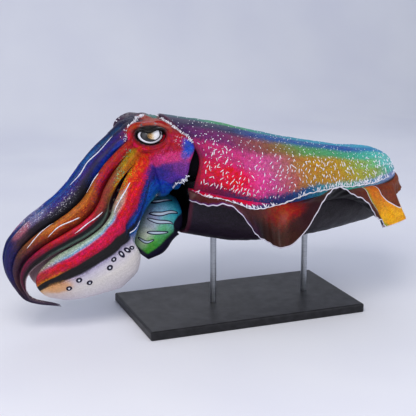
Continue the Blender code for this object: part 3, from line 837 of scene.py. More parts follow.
def skin_relief(points, along, around):
    """Points moved out from the section's centre by noise and folds, then sunk under the lids."""
    centre = section_point(np.clip(along, -1, 1), 0.0, 0.0)
    outward = unit(points - centre)
    on_head = climb(along, 0.1, -0.1) * climb(along, -1.02, -0.97)
    folds = uneven(points + along[:, None] * FOLD_STRETCH, HEAD_FOLDS)
    amount = (on_head + (1 - on_head) * ARM_RELIEF) * (uneven(points, HEAD_BUMPS) + folds)
    cheek = hill(along, -0.22 + 0.25 * (around - 1.4), 0.05)
    amount = amount - CHEEK_DEPTH * cheek * climb(around, 1.15, 1.35) * climb(around, 2.2, 1.9)
    fade = climb(along, 1, 0.94) * (along > -1.0)
    points = points + outward * (amount * fade)[:, None]
    for side in SIDES:
        u, v, ahead = in_eye_frame(points, side)
        facing = (ahead > 0.0) & (np.hypot(u, v) < EYE_ZONE)
        sink = LID_SINK * climb(np.hypot(*lid_place(u, v)), 1.35, 0.85) * facing
        fold, crease = (high * hill(np.hypot(u, v + 0.004), radius, width) * facing
                        * climb(v, -0.002, -0.012) for high, radius, width in EYE_FOLDS)
        points = points + (fold - crease - sink)[:, None] * eye_frame(side)[3]
    return points


skin_points, skin_quads, skin_tris, (skin_along, skin_around, skin_inside) = head_and_arms()
skin_points = skin_relief(skin_points, skin_along, skin_around)
print("head and arms:", len(skin_points), "points, low", skin_points.min(0).round(3), "high",
      skin_points.max(0).round(3))

# %% [markdown]
# ## Paint of the head and the arms
# The skin's own map runs along the sections and around them. Across the arms the colour lies in
# long bands: blue and violet on the upper pair, brown, crimson, then a pale arm with a crimson
# stripe and a keel. Near-black painted shade lies in the grooves below the first arm and above the
# lowest arm, and along the edge of the keel. The stripe and the keel wander round the lowest arm,
# so a second map is stretched until both lie at the same degrees all along the arm. Three washes of
# bands, for the arms' bases, middles and tips, fade into one another, and patches are worked in.

# %% The stretched map of the arms
MAP_PLACES = (-0.3, 0.0, 0.07, 0.12, 0.16, 0.22, 0.31, 0.42, 0.52, 0.65, 0.84)
STRIPE_TOP = (80, 86, 87, 88, 88, 83, 77, 79, 82, 82, 82)
STRIPE_LOW = (90, 97, 103, 109, 105, 98, 89, 90, 93, 94, 93)
KEEL_LOW = (100, 112, 130, 137, 131, 110, 98, 99, 104, 105, 101)
STRAIGHT = (0, 34, 53, 70, 82.5, 91.5, 102, 180)


def stretched(along, around):
    """Degrees round the body, each piece between two wandering lines made straight."""
    degrees = np.degrees(around)
    lines = [np.full(along.shape, float(v)) for v in STRAIGHT[:4]]
    lines += [np.interp(along, MAP_PLACES, line) for line in (STRIPE_TOP, STRIPE_LOW, KEEL_LOW)]
    lines.append(np.full(along.shape, 180.001))
    found = 0 * degrees
    for low, high, first, last in zip(lines, lines[1:], STRAIGHT, STRAIGHT[1:]):
        share = (degrees - low) / (high - low)
        found = np.where((share >= 0) & (share < 1), first + share * (last - first), found)
    return found


# %% Bands and patches
# Degrees on the stretched map and the colour there. The near-black stops near 27–35° and 65–68° are
# painted shade by the grooves between arms, and those near 92–101° painted shadow along the edge of
# the keel.
BASE_BANDS = {0: "0a6088", 6: "1258a0", 10: "183e98", 14: "1c2c86", 20: "2a1e72", 27: "22184e",
              31: "1c3698", 33.5: "1c2c7c", 35.5: "5c1a2c", 40: "a03a20", 45: "a82a1e",
              50: "9c1c24", 54: "7c4a22", 58: "8c6c20", 64: "a0701e", 70: "ac5418", 76: "c0361a",
              82: "c81e20", 87: "cc1430", 91: "b40e38", 92.5: "181c60", 95: "1a48a8",
              96.5: "0c0a16", 98.6: "0c0a16", 99.6: "1a58b0", 104: "1a60a8", 120: "2c7898",
              150: "3a8a84"}
MIDDLE_BANDS = {0: "0a4c74", 4: "12428c", 10: "1c2a88", 15: "2e2878", 20: "3a2870", 24: "2c1c50",
                27: "130f26", 31: "0d0b14", 34: "17110f", 36: "5a3020", 40: "94501f", 44: "a85a22",
                48: "98401e", 51: "7c3026", 54: "9c1a30", 59: "b4182e", 63: "8c142a",
                65.2: "0d0b12", 67.4: "0d0b12", 68.9: "6c8478", 76: "96ab98", 79.5: "90acb4",
                81.6: "6c98c4", 83.4: "bc2c54", 87: "c8103e", 91: "a40e38", 92.3: "0f0c12",
                101.5: "0f0c12", 103.4: "a8a0bc", 108: "ccc6d6", 120: "e2dcd8", 150: "dcd4dc"}
TIP_BANDS = {0: "161c54", 8: "1e2054", 15: "2a2048", 22: "3a2440", 28: "4a2c34", 32: "120d14",
             35.5: "120d14", 37.5: "8a4a1a", 40: "4c2c22", 47: "43262a", 52: "241034",
             54.5: "3c1434", 58: "741c3c", 63: "4c1630", 66: "0d0a12", 68.2: "0d0a12",
             70.4: "7c7c68", 78: "9c8a72", 82.5: "b03440", 88: "a83830", 90.6: "a8502a",
             91.8: "dc8a20", 92.8: "0f0c12", 101.5: "0f0c12", 104: "dcac80", 118: "dcc8c0",
             150: "cec6d0"}
HEAD_BANDS = {0: "161030", 9: "201842", 14: "4a2030", 19: "a03a1e", 28: "a4301c", 36: "84181c",
              46: "9c1424", 58: "a61024", 69: "980e28", 75: "ac2048", 80: "bc346c", 85: "a83874",
              89: "582a80", 96: "3c2678", 104: "38288c", 113: "2834a0", 125: "1a44aa",
              145: "1a58ac", 180: "286a88"}
# Painted shade: dark violet laid on the far brow.
FAR_BROW_SHADE = "1c1638"
# Each patch: place and reach (each along, degrees), colour, strength and specks a metre.
HEAD_PATCHES = (
    (-0.42, 44, 0.36, 15, "8c0e1c", 0.8, 0), (-0.14, 66, 0.16, 13, "b81a1c", 0.75, 0),
    (-0.72, 55, 0.20, 10, "a81630", 0.8, 0), (-0.60, 70, 0.30, 6, "a01030", 0.7, 0),
    (-0.58, 81, 0.30, 6, "c83c78", 0.75, 0), (-0.30, 84, 0.12, 6, "a82c60", 0.6, 0),
    (-0.86, 93, 0.22, 8, "7c3a94", 0.7, 0), (-0.66, 106, 0.28, 9, "5c38a0", 0.75, 0),
    (-0.28, 98, 0.22, 9, "2c2884", 0.7, 0), (-0.08, 100, 0.10, 12, "30207c", 0.7, 0),
    (-0.90, 68, 0.10, 12, "1848b0", 0.95, 0), (-0.86, 78, 0.08, 6, "2458c0", 0.7, 0),
    # The dark patch at (-0.80, 120) is painted shadow in the lower corner of the neck, at the
    # mantle's opening.
    (-0.20, 124, 0.30, 16, "1648b0", 0.75, 0), (-0.80, 120, 0.16, 14, "141238", 0.7, 0),
    (0.03, 57, 0.05, 6, "a07c1c", 0.85, 0), (0.03, 66, 0.06, 6, "b0641a", 0.7, 0),
    (-0.02, 78, 0.09, 8, "cc3012", 0.8, 0), (0.10, 47, 0.06, 8, "a02024", 0.7, 0),
    (0.18, 48, 0.06, 7, "a01c30", 0.7, 0), (0.17, 60, 0.07, 6, "8a3c34", 0.8, 0),
    (0.11, 70, 0.06, 5, "a8601c", 0.7, 0), (0.18, 79, 0.06, 4, "ac9c8c", 0.7, 0),
    (0.25, 61, 0.07, 5, "7c3428", 0.7, 0), (0.27, 74, 0.06, 4, "a8b4a0", 0.8, 0),
    (0.56, 14, 0.09, 9, "77749a", 0.85, 0), (0.63, 17, 0.05, 8, "a8606c", 0.8, 0),
    (0.78, 20, 0.09, 22, "161e5c", 0.8, 0), (0.68, 110, 0.08, 9, "d89a5c", 0.75, 0),
    (-0.18, 10, 0.34, 9, "141030", 0.9, 0), (-0.64, 7, 0.18, 17, "98301c", 0.9, 0),
    (-0.86, 24, 0.12, 24, "7c2018", 0.8, 0), (-0.74, 1, 0.10, 4, "2c7c78", 0.9, 0),
    (0.03, 52, 0.03, 5, "30c0a0", 1.0, 430), (0.08, 57, 0.03, 5, "2cc49c", 1.0, 430),
    (0.11, 65, 0.04, 5, "30c8a4", 1.0, 430), (0.15, 73, 0.05, 5, "34c49c", 1.0, 430),
    (0.10, 70, 0.08, 8, "b8b81c", 0.9, 380), (0.06, 74, 0.08, 9, "d8701c", 0.8, 360),
    (0.18, 48, 0.09, 5, "30246c", 0.95, 430), (0.24, 50, 0.05, 3, "241a5c", 0.9, 430),
    (0.17, 9, 0.12, 8, "0c1230", 0.9, 330), (-0.50, 92, 0.50, 10, "241a5c", 0.85, 420),
    (-0.58, 80, 0.36, 8, "e06a9c", 0.7, 420), (-0.46, 112, 0.40, 12, "161650", 0.8, 400),
    (0.02, 100, 0.10, 9, "10103c", 0.9, 400), (0.06, 86, 0.12, 8, "e03a20", 0.7, 380),
    (0.40, 45, 0.16, 7, "d07820", 0.7, 360), (0.40, 76, 0.20, 6, "c8d8c8", 0.75, 430),
    (0.60, 76, 0.14, 6, "e0dcd0", 0.8, 430), (0.56, 14, 0.10, 9, "e4e4f0", 0.95, 430),
    (0.40, 24, 0.10, 5, "e4e4f0", 0.6, 430), (-0.80, 60, 0.08, 8, "e8e8f4", 0.8, 380),
    (0.30, 14, 0.3, 8, "1c6cb8", 0.8, 380))


def degree_ramp(value, bands):
    return ramp(value, {place / 180: code for place, code in bands.items()})


def streaks(along, turn):
    """Fine lines that run along the arms: noise on (along, turn), many times finer across."""
    place = add(along.tree, "CombineXYZ", {0: along * 9.0, 1: turn * 110.0})
    return add(along.tree, "TexNoise", {"Vector": place, "Scale": 1.0, "Detail": 3.0,
                                        "Roughness": 0.65}, "Fac")


def head_paint(tree):
    """Washes mixed along the body, patches and specks over them, painted shade on the far brow and
    on the neck inside the mantle, pale inner faces.
    """
    along, around, turn, inside = read(tree, "along", "around", "turn", "inside")
    ragged = (cloud(tree, 420, 3.0, 0.75) - 0.5) * 0.9
    soft = (cloud(tree, 70) - 0.5) * 0.9
    degrees = ragged * (between(along, 0.25, 0.0) * 0.022 + 0.0055) + turn
    shifted = ragged * 0.25 + along
    paint = degree_ramp(soft * 0.05 + ragged * 0.055 + around, HEAD_BANDS)
    for bands, low, high in ((BASE_BANDS, -0.12, 0.04), (MIDDLE_BANDS, 0.14, 0.27),
                             (TIP_BANDS, 0.52, 0.74)):
        paint = lay(paint, between(shifted, low, high), degree_ramp(degrees, bands))
    for place, middle, reach, wide, code, strength, specks in HEAD_PATCHES:
        mask = strength * patch(along, around if place < 0 else turn, place, middle / 180, reach,
                                wide / 180, ragged, 0.4)
        paint = flecked(paint, code, mask, specks) if specks else lay(paint, mask, code)
    # Painted shade: the far brow turns dark violet.
    brow = between(around, 0.52, 0.34) * between(along, 0.10, -0.06) * far_side(tree)
    paint = lay(paint, brow * 0.93, FAR_BROW_SHADE)
    pale = between(turn, 0.57, 0.60) * between(along, 0.22, 0.30)
    depth = between(along, -0.05, 0.12) * 1.8 + 0.4
    lines = (streaks(along, turn) - 0.5) * (pale * -1.9 + depth)
    paint = add(tree, "HueSaturation", {"Value": lines + 0.97, "Color": paint})
    calm = add(tree, "HueSaturation", {"Value": 0.93, "Color": paint})
    paint = layered(dapple(paint, 1.3), (pale * 0.75, calm), (inside * 0.9, "b89aa4"),
                    (between(along, 0.83, 0.93) * 0.85, "1a1230"),
                    # Painted shade: the neck black where it goes into the mantle.
                    (between(along, -0.996, -1.004), "0c0a12"))
    return {"colour": paint, "height": grain(tree), "bump": 0.45,
            "roughness": cloud(tree, 60) * 0.25 + 0.42}


HEAD_SKIN = new_skin("head_skin", head_paint)
ARM_NODES = [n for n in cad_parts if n.startswith("arm_")]
put_piece("head_and_arms", skin_points, skin_quads, skin_tris, HEAD_SKIN, "head_skin",
          ["head", *ARM_NODES], along=skin_along, around=skin_around / np.pi, inside=skin_inside,
          turn=stretched(skin_along, skin_around) / 180)

# %% [markdown]
# ## Lids
# A fold of skin closes round each eyeball, thick above, where it hoods the eye, and thinner below.
# Its rim is a sharp edge that the coarse head grid can't hold, so each lid is a closed ring of its
# own: a profile that starts on the eyeball, rises to a crest, runs out to the skin and returns
# below it. The skin's height round the eye is read as a smooth polynomial.

# %% Skin height round an eye
SKIN_DEGREE, SKIN_REACH = 5, 0.05


def skin_height(side):
    """A function of (u, v) fitted by least squares to the mounded skin's height near the eye."""
    t, angle = np.meshgrid(np.linspace(-0.97, 0.12, 70), np.radians(np.linspace(2, 120, 90)))
    u, v, ahead = in_eye_frame(head_point(np.minimum(t, 0), side * angle).reshape(-1, 3), side)
    near = (np.hypot(u, v) < SKIN_REACH) & (ahead > -0.015)
    powers = [(i, j) for i in range(SKIN_DEGREE + 1) for j in range(SKIN_DEGREE + 1 - i)]

    def terms(a, b):
        return np.stack([(a / SKIN_REACH) ** i * (b / SKIN_REACH) ** j for i, j in powers], -1)

    fit, *_ = np.linalg.lstsq(terms(u[near], v[near]), ahead[near], rcond=None)
    error = np.abs(terms(u[near], v[near]) @ fit - ahead[near]).max()
    print(f"skin height fit, eye {side}: worst error {1000 * error:.2f} mm")
    return lambda a, b: terms(a, b) @ fit


def ball_height(u, v):
    """Height of the eyeball's surface over its centre plane."""
    return np.sqrt(np.maximum(EYE_RADIUS ** 2 - u ** 2 - v ** 2, 0))


# %% Build the lids
LID_TURNS, LID_PROFILE = 144, 52
DROOP, DROOP_PLACE, DROOP_WIDTH = 0.0085, 0.10, 0.55
WRINKLES = ((0.0003, 13, 0), (0.0002, 29, 1))


def lid_rings(side):
    """Profiles of (distance out from the opening, height), carried round the opening.

    The opening is an oval whose upper edge droops by a bell curve, as the hood hangs over the eye.
    """
    height = skin_height(side)
    turn = circle(LID_TURNS)
    upper = np.clip(np.sin(turn), 0, 1)
    hood = upper ** 0.8
    droop = DROOP * hill(np.cos(turn), DROOP_PLACE, DROOP_WIDTH) * ease(upper / 0.6)
    edge = np.stack([LID_WIDE * np.cos(turn), lid_high(np.sin(turn)) * np.sin(turn) - droop], -1)
    out = unit(np.stack([np.cos(turn), np.sin(turn) * (1.15 + 0.2 * hood)], -1))
    landing = 0.013 + 0.011 * hood
    wrinkle = waves(turn, WRINKLES)

    def at(d, rule):
        spot = edge + out * np.broadcast_to(d, turn.shape)[:, None]
        skin, ball = height(*spot.T), ball_height(*spot.T)
        return np.concatenate([spot, rule(skin, ball)[:, None]], 1)

    rim = ball_height(*edge.T)
    profile = [
        at(0.0002, lambda s, b: rim - 0.0015),
        at(-0.0010 * hood, lambda s, b: rim + 0.0010 + 0.0010 * hood),
        at(0.0008 - 0.0010 * hood, lambda s, b: rim + 0.0026 + 0.0024 * hood + wrinkle),
        at(0.0030, lambda s, b: np.max([rim, s, b], 0) + 0.0024 + 0.0022 * hood + wrinkle),
        at(0.0062, lambda s, b: np.maximum(s, b) + 0.0014 + 0.0014 * hood - 0.5 * wrinkle),
        at(0.0085 + 0.001 * hood, lambda s, b: np.maximum(s, b + 0.0008) + 0.0018 + 0.0012 * hood),
        at(0.75 * landing, lambda s, b: np.maximum(s, b + 0.0008 * hood) + 0.0007),
        at(0.88 * landing, lambda s, b: np.maximum(s, b) + 0.0001),
        at(landing, lambda s, b: s - 0.0012),
        at(0.9 * landing, lambda s, b: s - 0.0050),
        at(0.5 * landing, lambda s, b: np.minimum(s, rim) - 0.0075),
        at(0.10 * landing, lambda s, b: rim - 0.0060),
    ]
    count = len(profile)
    wrapped = np.array(profile[-3:] + profile + profile[:3])
    places = np.linspace(0, count, LID_PROFILE, endpoint=False)
    return through(np.arange(-3, count + 3), wrapped, places)


def lid_paint(tree):
    """Painted shade at the rim and under the hood's edge, crimson with a pink crescent below,
    orange above.
    """
    out, turn, front = read(tree, "out", "hood", "front")
    ragged = (cloud(tree, 500, 3.0, 0.7) - 0.5) * 0.35
    # Each ramp starts near black: painted shade at the rim, where the lid meets the eyeball. The
    # upper ramp stays dark further out: painted shade under the hood.
    lower = ramp(out + ragged, {0.0: "0c060a", 0.10: "1c060e", 0.18: "7a0c1c", 0.34: "a00e20",
                                0.44: "c4143a", 0.52: "d83460", 0.60: "a80e24", 0.75: "8c0e1c",
                                1.0: "98101e"})
    back = ramp(out + ragged, {0.0: "0c060a", 0.12: "4c0a14", 0.3: "96101e", 0.6: "9c1224",
                               1.0: "a01228"})
    upper = ramp(out + ragged, {0.0: "0a0608", 0.22: "120808", 0.36: "4c1010", 0.50: "8c2414",
                                0.66: "a83c1a", 0.82: "9c2c1a", 1.0: "981c1c"})
    paint = layered(back, (between(front + ragged, -0.15, 0.45), lower),
                    (between(turn + ragged, 0.0, 0.4), upper),
                    # Painted shade: dark violet on the far side of the hood.
                    (far_side(tree) * between(turn, -0.1, 0.3) * 0.93, FAR_BROW_SHADE))
    return {"colour": dapple(paint), "height": grain(tree, 1.2), "bump": 0.4}


LID_SKIN = new_skin("lid_skin", lid_paint)
for side, word in SIDES.items():
    u, v, ahead = np.moveaxis(lid_rings(side), -1, 0)[..., None]
    centre, along, up, look = eye_frame(side)
    turn = np.arctan2(v, u)
    put_piece(f"lid_{word}", *closed_ring(centre + u * along + v * up + ahead * look), LID_SKIN,
              "head_skin", out=np.clip(np.hypot(*lid_place(u, v)) - 1, 0, 1), hood=np.sin(turn),
              front=np.cos(turn))

# %% [markdown]
# ## Eyes
# A cuttlefish's pupil is a curved slit shaped like a W, black, in an iris of silver and gold, with
# a pale crescent along the lower lid. The eyeball is a ball whose pole is the eye's axis. The
# pupil is what a pale squarish patch leaves dark. The distance from its edge is kept on the points,
# so that the edge stays sharp.

# %% Eyeballs
EYE_ROWS, EYE_COLUMNS = 72, 128
# The pale patch of iris: centre, half lengths and tilt as shares of the opening, and squareness.
PATCH_PLACE, PATCH_HALF, PATCH_TILT, PATCH_SQUARE = (-0.30, 0.14), (0.50, 0.66), 0.22, 3.2
BAR_PLACE, BAR_HALF = -0.72, 0.070


def pupil_distance(x, y):
    """Above 0 inside the pale patch (a squarish oval less an upright bar), below 0 in the pupil."""
    a = (x - PATCH_PLACE[0]) * math.cos(PATCH_TILT) + (y - PATCH_PLACE[1]) * math.sin(PATCH_TILT)
    b = -(x - PATCH_PLACE[0]) * math.sin(PATCH_TILT) + (y - PATCH_PLACE[1]) * math.cos(PATCH_TILT)
    oval = (np.abs(a / PATCH_HALF[0]) ** PATCH_SQUARE
            + np.abs(b / PATCH_HALF[1]) ** PATCH_SQUARE) ** (1 / PATCH_SQUARE)
    inside = (1 - oval) * PATCH_HALF[0]
    bar = np.hypot(x - BAR_PLACE - 0.10 * y, np.maximum(-0.15 - y, 0)) - BAR_HALF
    return np.minimum(inside, bar)


def eye_paint(tree):
    """Black pupil lobes, a pale patch of gold and silver, a white crescent with a dark line above
    it, and painted shade of the lids at the edge.
    """
    x, y, pale, edge = read(tree, "front", "above", "pupil", "edge")
    ragged = cloud(tree, 700, 3.0, 0.7) - 0.5
    iris = ramp(ragged * 0.5 + x * -0.7 + 0.42, {
        0.0: "2a2018", 0.30: "6c5028", 0.42: "a8804c", 0.52: "ccb898", 0.62: "dcdce0",
        0.90: "c4c4d0", 1.0: "a0a0b0"})
    low = between(x * -0.40 + y, 0.42, 0.22)
    return {"colour": layered(
        "08070b", (between(ragged * 0.12 + pale, -0.02, 0.03), iris),
        (patch(x, y, 0.45, 0.1, 0.16, 0.5, ragged, 0.6) * 0.35, "6a6a70"),
        (band(edge, 0.69, 0.035, 0.03) * low, "0a080c"),
        # Painted shade of the lids: the dark rim at the edge of the opening.
        (band(edge, 0.80, 0.055, 0.025) * low, "dcdce8"), (between(edge, 0.88, 0.93), "12060c"))}


EYE_COAT = new_skin("eye", eye_paint, 0.16, 0.7)
for side, word in SIDES.items():
    centre, along, up, look = eye_frame(side)
    polar = np.linspace(0, np.pi, EYE_ROWS + 2)[1:-1, None, None]
    turn = circle(EYE_COLUMNS)[:, None]
    ball = np.sin(polar) * (np.cos(turn) * along + np.sin(turn) * up) + np.cos(polar) * look
    points, quads, tris = closed_tube(centre + EYE_RADIUS * ball, centre + look * EYE_RADIUS,
                                      centre - look * EYE_RADIUS)
    x, y = lid_place(*in_eye_frame(points, side)[:2])
    put_piece(f"eyeball_{word}", points, quads, tris, EYE_COAT, "eye", [f"eye_{word}"], front=x,
              above=y, pupil=pupil_distance(x, y), edge=np.hypot(x, y))

# %% [markdown]
# ## Mantle
# The mantle is the animal's main body, a long shield that is broad in the middle and rounds off
# at the tail. Its front is a free edge, open round the neck. The shape is a set of full ovals
# along its length. At the front the surface rolls over a soft lip and runs back inside.

# %% Mantle shape
MANTLE_FRONT, MANTLE_ROUNDING, MANTLE_END, MANTLE_AXIS = -0.022, 0.342, 0.407, 0.035
MANTLE_STATIONS = (-0.03, 0.05, 0.14, 0.23, 0.31, 0.37, 0.43)
MANTLE_HALF_WIDTH = (0.084, 0.103, 0.110, 0.102, 0.086, 0.072, 0.058)
MANTLE_BACK = (0.162, 0.145, 0.121, 0.100, 0.085, 0.079, 0.073)
MANTLE_FINS = (0.044, 0.026, 0.010, 0.018, 0.021, 0.022, 0.026)
MANTLE_BELLY = (-0.044, -0.060, -0.070, -0.068, -0.060, -0.048, -0.018)
FRONT_STEPS, TAIL_STEPS, TAIL_TURN = 15, 7, math.radians(82)
TAIL_PLACE = FRONT_STEPS + TAIL_STEPS
FULLNESS, TAIL_FULLNESS = 2.3, 2.8
ROOT_HALF, ROOT_HALF_TAIL = 0.0052, 0.0034
TILT_LENGTH = 4 * (MANTLE_ROUNDING - MANTLE_FRONT) / FRONT_STEPS
MANTLE_SCOOP, SCOOP_FADE = 0.033, 0.11
LIP, MANTLE_INSIDE, WALL_LEAN = 0.0040, 0.045, 0.006


def station_x(place):
    """X of a place from 0 at the front edge to 22 at the tail: even, then closing like a sine."""
    even = (MANTLE_ROUNDING - MANTLE_FRONT) * np.minimum(place, FRONT_STEPS) / FRONT_STEPS
    turn = TAIL_TURN * np.maximum(place - FRONT_STEPS, 0) / TAIL_STEPS
    return MANTLE_FRONT + even + (MANTLE_END - MANTLE_ROUNDING) * np.sin(turn)


def mantle_sizes(x):
    """Half width and the heights of back, fins and belly, all drawn in round the tail."""
    u = np.clip((x - MANTLE_ROUNDING) / (MANTLE_END - MANTLE_ROUNDING), 0, 1)
    share = (1 - u ** TAIL_FULLNESS) ** (1 / TAIL_FULLNESS)
    heights = [MANTLE_AXIS + (through(MANTLE_STATIONS, v, x) - MANTLE_AXIS) * share
               for v in (MANTLE_BACK, MANTLE_FINS, MANTLE_BELLY)]
    return through(MANTLE_STATIONS, MANTLE_HALF_WIDTH, x) * share, *heights


def mantle_share(x):
    """How far along the mantle x is, from 0 at the front edge to 1 at the tail."""
    return (x - MANTLE_FRONT) / (MANTLE_END - MANTLE_FRONT)


def root_band(x):
    return ROOT_HALF + (ROOT_HALF_TAIL - ROOT_HALF) * climb(x, 0.1, MANTLE_END)


def front_tilt(x, z):
    """Shift of the front sections into the sloping plane of the neck."""
    lean = (BACK_EDGE_X[0] - THROAT_EDGE_X[0]) / (BACK_EDGE_Z[0] - THROAT_EDGE_Z[0])
    face = THROAT_EDGE_X[0] + lean * (z - THROAT_EDGE_Z[0])
    return np.clip(1 - (x - MANTLE_FRONT) / TILT_LENGTH, 0, 1) * (face - MANTLE_FRONT)


def mantle_point(x, angle):
    """The full oval at x: angle 0 on the back, a right angle at the fins, pi under the belly."""
    x, angle = np.broadcast_arrays(np.asarray(x, float), angle)
    half, back, fins, belly = mantle_sizes(x)
    s, c = oval_wave(angle, 2 / FULLNESS)
    z = fins + np.where(c > 0, back - fins, fins - belly) * c
    scoop = MANTLE_SCOOP * hill(np.abs(angle), SCOOP_PLACE, SCOOP_WIDTH)
    scoop = scoop * climb(x, MANTLE_FRONT + SCOOP_FADE, MANTLE_FRONT)
    return PLACE + np.stack([x + front_tilt(x, z) + scoop, half * s, z], -1)


# %% Build the mantle
MANTLE_ROWS, MANTLE_COLUMNS, LIP_ROWS, INSIDE_ROWS = 210, 232, 8, 8
MANTLE_PLACES = np.linspace(0, TAIL_PLACE + 0.55, MANTLE_ROWS)
MANTLE_BUMPS = ((0.0010, 0.030, 5), (0.0005, 0.010, 6))


def build_mantle():
    """Outer rows, a half-round lip at the front, inner wall rows, and fans at both ends."""
    angle, place = signed_circle(MANTLE_COLUMNS)[None], MANTLE_PLACES[:, None]
    x = station_x(place)
    outer = mantle_point(x, angle)
    centre = outer[0].mean(0)
    inward = unit((centre - outer[0]) * (0, 1, 1))
    roll = np.linspace(0, np.pi, LIP_ROWS)[1:, None, None]
    lip = outer[0] + inward * LIP * (1 - np.cos(roll)) - np.sin(roll) * LIP * X_AXIS
    depth = np.linspace(0, 1, INSIDE_ROWS + 1)[1:, None, None]
    wall = lip[-1] + inward * WALL_LEAN * depth + depth * MANTLE_INSIDE * X_AXIS
    rings = np.concatenate([wall[::-1], lip[::-1], outer])
    front_rows = len(rings) - len(outer)
    fade = climb(place, 0.2, 1.7) * climb(place, TAIL_PLACE, TAIL_PLACE - 2)
    inward = unit((PLACE + (0, 0, MANTLE_AXIS) - outer) * (0, 1, 1))
    rings[front_rows:] -= inward * (uneven(outer, MANTLE_BUMPS) * fade)[..., None]
    points, quads, tris = closed_tube(rings, end=PLACE + (MANTLE_END, 0, MANTLE_AXIS))
    along = np.append(np.full(front_rows, -0.02), mantle_share(x))
    inside = np.concatenate([np.ones(INSIDE_ROWS), np.linspace(1, 0, LIP_ROWS)[:-1],
                             np.zeros(MANTLE_ROWS)])
    values = along[:, None], np.abs(angle) / np.pi, inside[:, None]
    tips = ((-0.02, 1.0), (0.5, 0.5), (1.0, 0.0))
    return points, quads, tris, on_points(rings.shape[:2], values, tips)


# %% [markdown]
# The mantle's colour changes both along it and down its side: blue and teal on the back, purple and
# crimson in front, ochre and green towards the tail, with a line over the fins that turns dark navy
# from a fifth to two fifths of the way back, painted shade above the fin's root. Washes along the
# length, for seven heights, are mixed by a height that noise makes uneven. The height is counted
# from the back (0) to the root line of the fins (1).

# %% Paint the mantle
ROOT_PLACES = (0.0, 0.09, 0.18, 0.25, 0.31, 0.40, 0.50, 0.60, 0.66, 0.72, 0.82, 0.89, 1.0)
ROOT_AROUND = (0.51, 0.50, 0.51, 0.52, 0.51, 0.485, 0.467, 0.465, 0.46, 0.475, 0.475, 0.45, 0.42)
CREST_WASH = {0.0: "1c3c5c", 0.12: "22706c", 0.18: "2c8a62", 0.26: "3a9858", 0.34: "2a987c",
              0.42: "1c7c94", 0.56: "1f92b0", 0.75: "2a9cbc", 0.90: "38a4c4", 1.0: "78c8d4"}
BACK_WASH = {0.0: "2a1844", 0.12: "221a48", 0.22: "1a2452", 0.29: "1a3c7c", 0.36: "184a90",
             0.50: "1a5498", 0.62: "185c98", 0.75: "2050a0", 0.86: "2878b0", 0.95: "3c98c0",
             1.0: "74c0d0"}
UPPER_WASH = {0.0: "301a4c", 0.08: "602660", 0.18: "702a60", 0.27: "844054", 0.35: "865444",
              0.44: "7c6a38", 0.52: "5a9454", 0.66: "4a9868", 0.76: "46a48c", 0.88: "54b4a8",
              1.0: "7cc8d0"}
SIDE_WASH = {0.0: "8c1c58", 0.07: "b03064", 0.20: "b83a74", 0.30: "c4508e", 0.39: "ac5878",
             0.46: "a06c44", 0.54: "aa7e2a", 0.66: "ac882e", 0.74: "90963a", 0.84: "6caa72",
             0.92: "64b4b0", 1.0: "7cc0cc"}
LOWER_WASH = {0.0: "b80e34", 0.07: "c81840", 0.16: "d41c34", 0.24: "d8284c", 0.29: "dc4890",
              0.36: "bc4c88", 0.43: "a85c54", 0.50: "ac7c2e", 0.66: "b0842a", 0.76: "9c9636",
              0.85: "8a9c48", 0.93: "58aca0", 1.0: "74a4c0"}
# Painted shade: the dark navy from 0.20 to 0.40, above the fin's root.
LINE_WASH = {0.0: "7c0c34", 0.12: "601848", 0.20: "34285c", 0.28: "283064", 0.40: "28346c",
             0.50: "2c5890", 0.58: "38889c", 0.70: "44a088", 0.80: "5888a4", 1.0: "868cbc"}
# Painted shade: the belly near black; the animal's own belly is pale.
BELLY_SHADE_WASH = {0.0: "1c1424", 0.3: "241826", 0.6: "1e1820", 1.0: "24202a"}


def mantle_wash(along, height):
    """The mantle's own colour at a place along it and a height from back to root line."""
    soft = cloud(along.tree, 26, 3.0, 0.6) - 0.5
    ragged = cloud(along.tree, 240, 3.0, 0.75) - 0.5
    place = soft * 0.10 + ragged * 0.06 + along
    height = soft * 0.10 + ragged * 0.14 + height
    paint = ramp(place, CREST_WASH)
    for wash, low, high in ((BACK_WASH, 0.05, 0.13), (UPPER_WASH, 0.22, 0.36),
                            (SIDE_WASH, 0.44, 0.56), (LOWER_WASH, 0.66, 0.78),
                            (LINE_WASH, 0.885, 0.955)):
        paint = lay(paint, between(height, low, high), ramp(place, wash))
    return dapple(paint, 1.25)


def mantle_paint(tree):
    """The washes, a belly painted near black as shade and dappled, a dark front edge, and painted
    black shade inside.
    """
    along, inside, height = read(tree, "along", "inside", "height")
    paint = layered(mantle_wash(along, height),
                    # Painted shade on the belly.
                    (between(height, 1.03, 1.09), dapple(ramp(along, BELLY_SHADE_WASH), 2.0)),
                    (between(along, 0.010, -0.004) * 0.6, "4c0a24"),
                    # Painted shade inside the mantle.
                    (between(inside, 0.3, 0.7), "0c0910"))
    return {"colour": paint, "height": grain(tree, 0.9), "bump": 0.45,
            "roughness": cloud(tree, 50) * 0.25 + 0.40}


MANTLE_SKIN = new_skin("mantle_skin", mantle_paint)
mantle_points, quads, tris, (along, around, inside) = build_mantle()
put_piece("mantle_skin", mantle_points, quads, tris, MANTLE_SKIN, "mantle_skin", ["mantle"],
          along=along, inside=inside, height=around / np.interp(along, ROOT_PLACES, ROOT_AROUND))

# %% [markdown]
# ## Fins
# A fin runs along each side of the mantle as one thin sheet, and waves pass along it. Each section
# leaves the mantle level and then bends by the angle that the wave has there, so the sheet keeps
# its width and doesn't stretch. A finer ruffle grows towards the margin. The sheet is closed:
# upper face, round margin, lower face, and a root that starts inside the mantle.

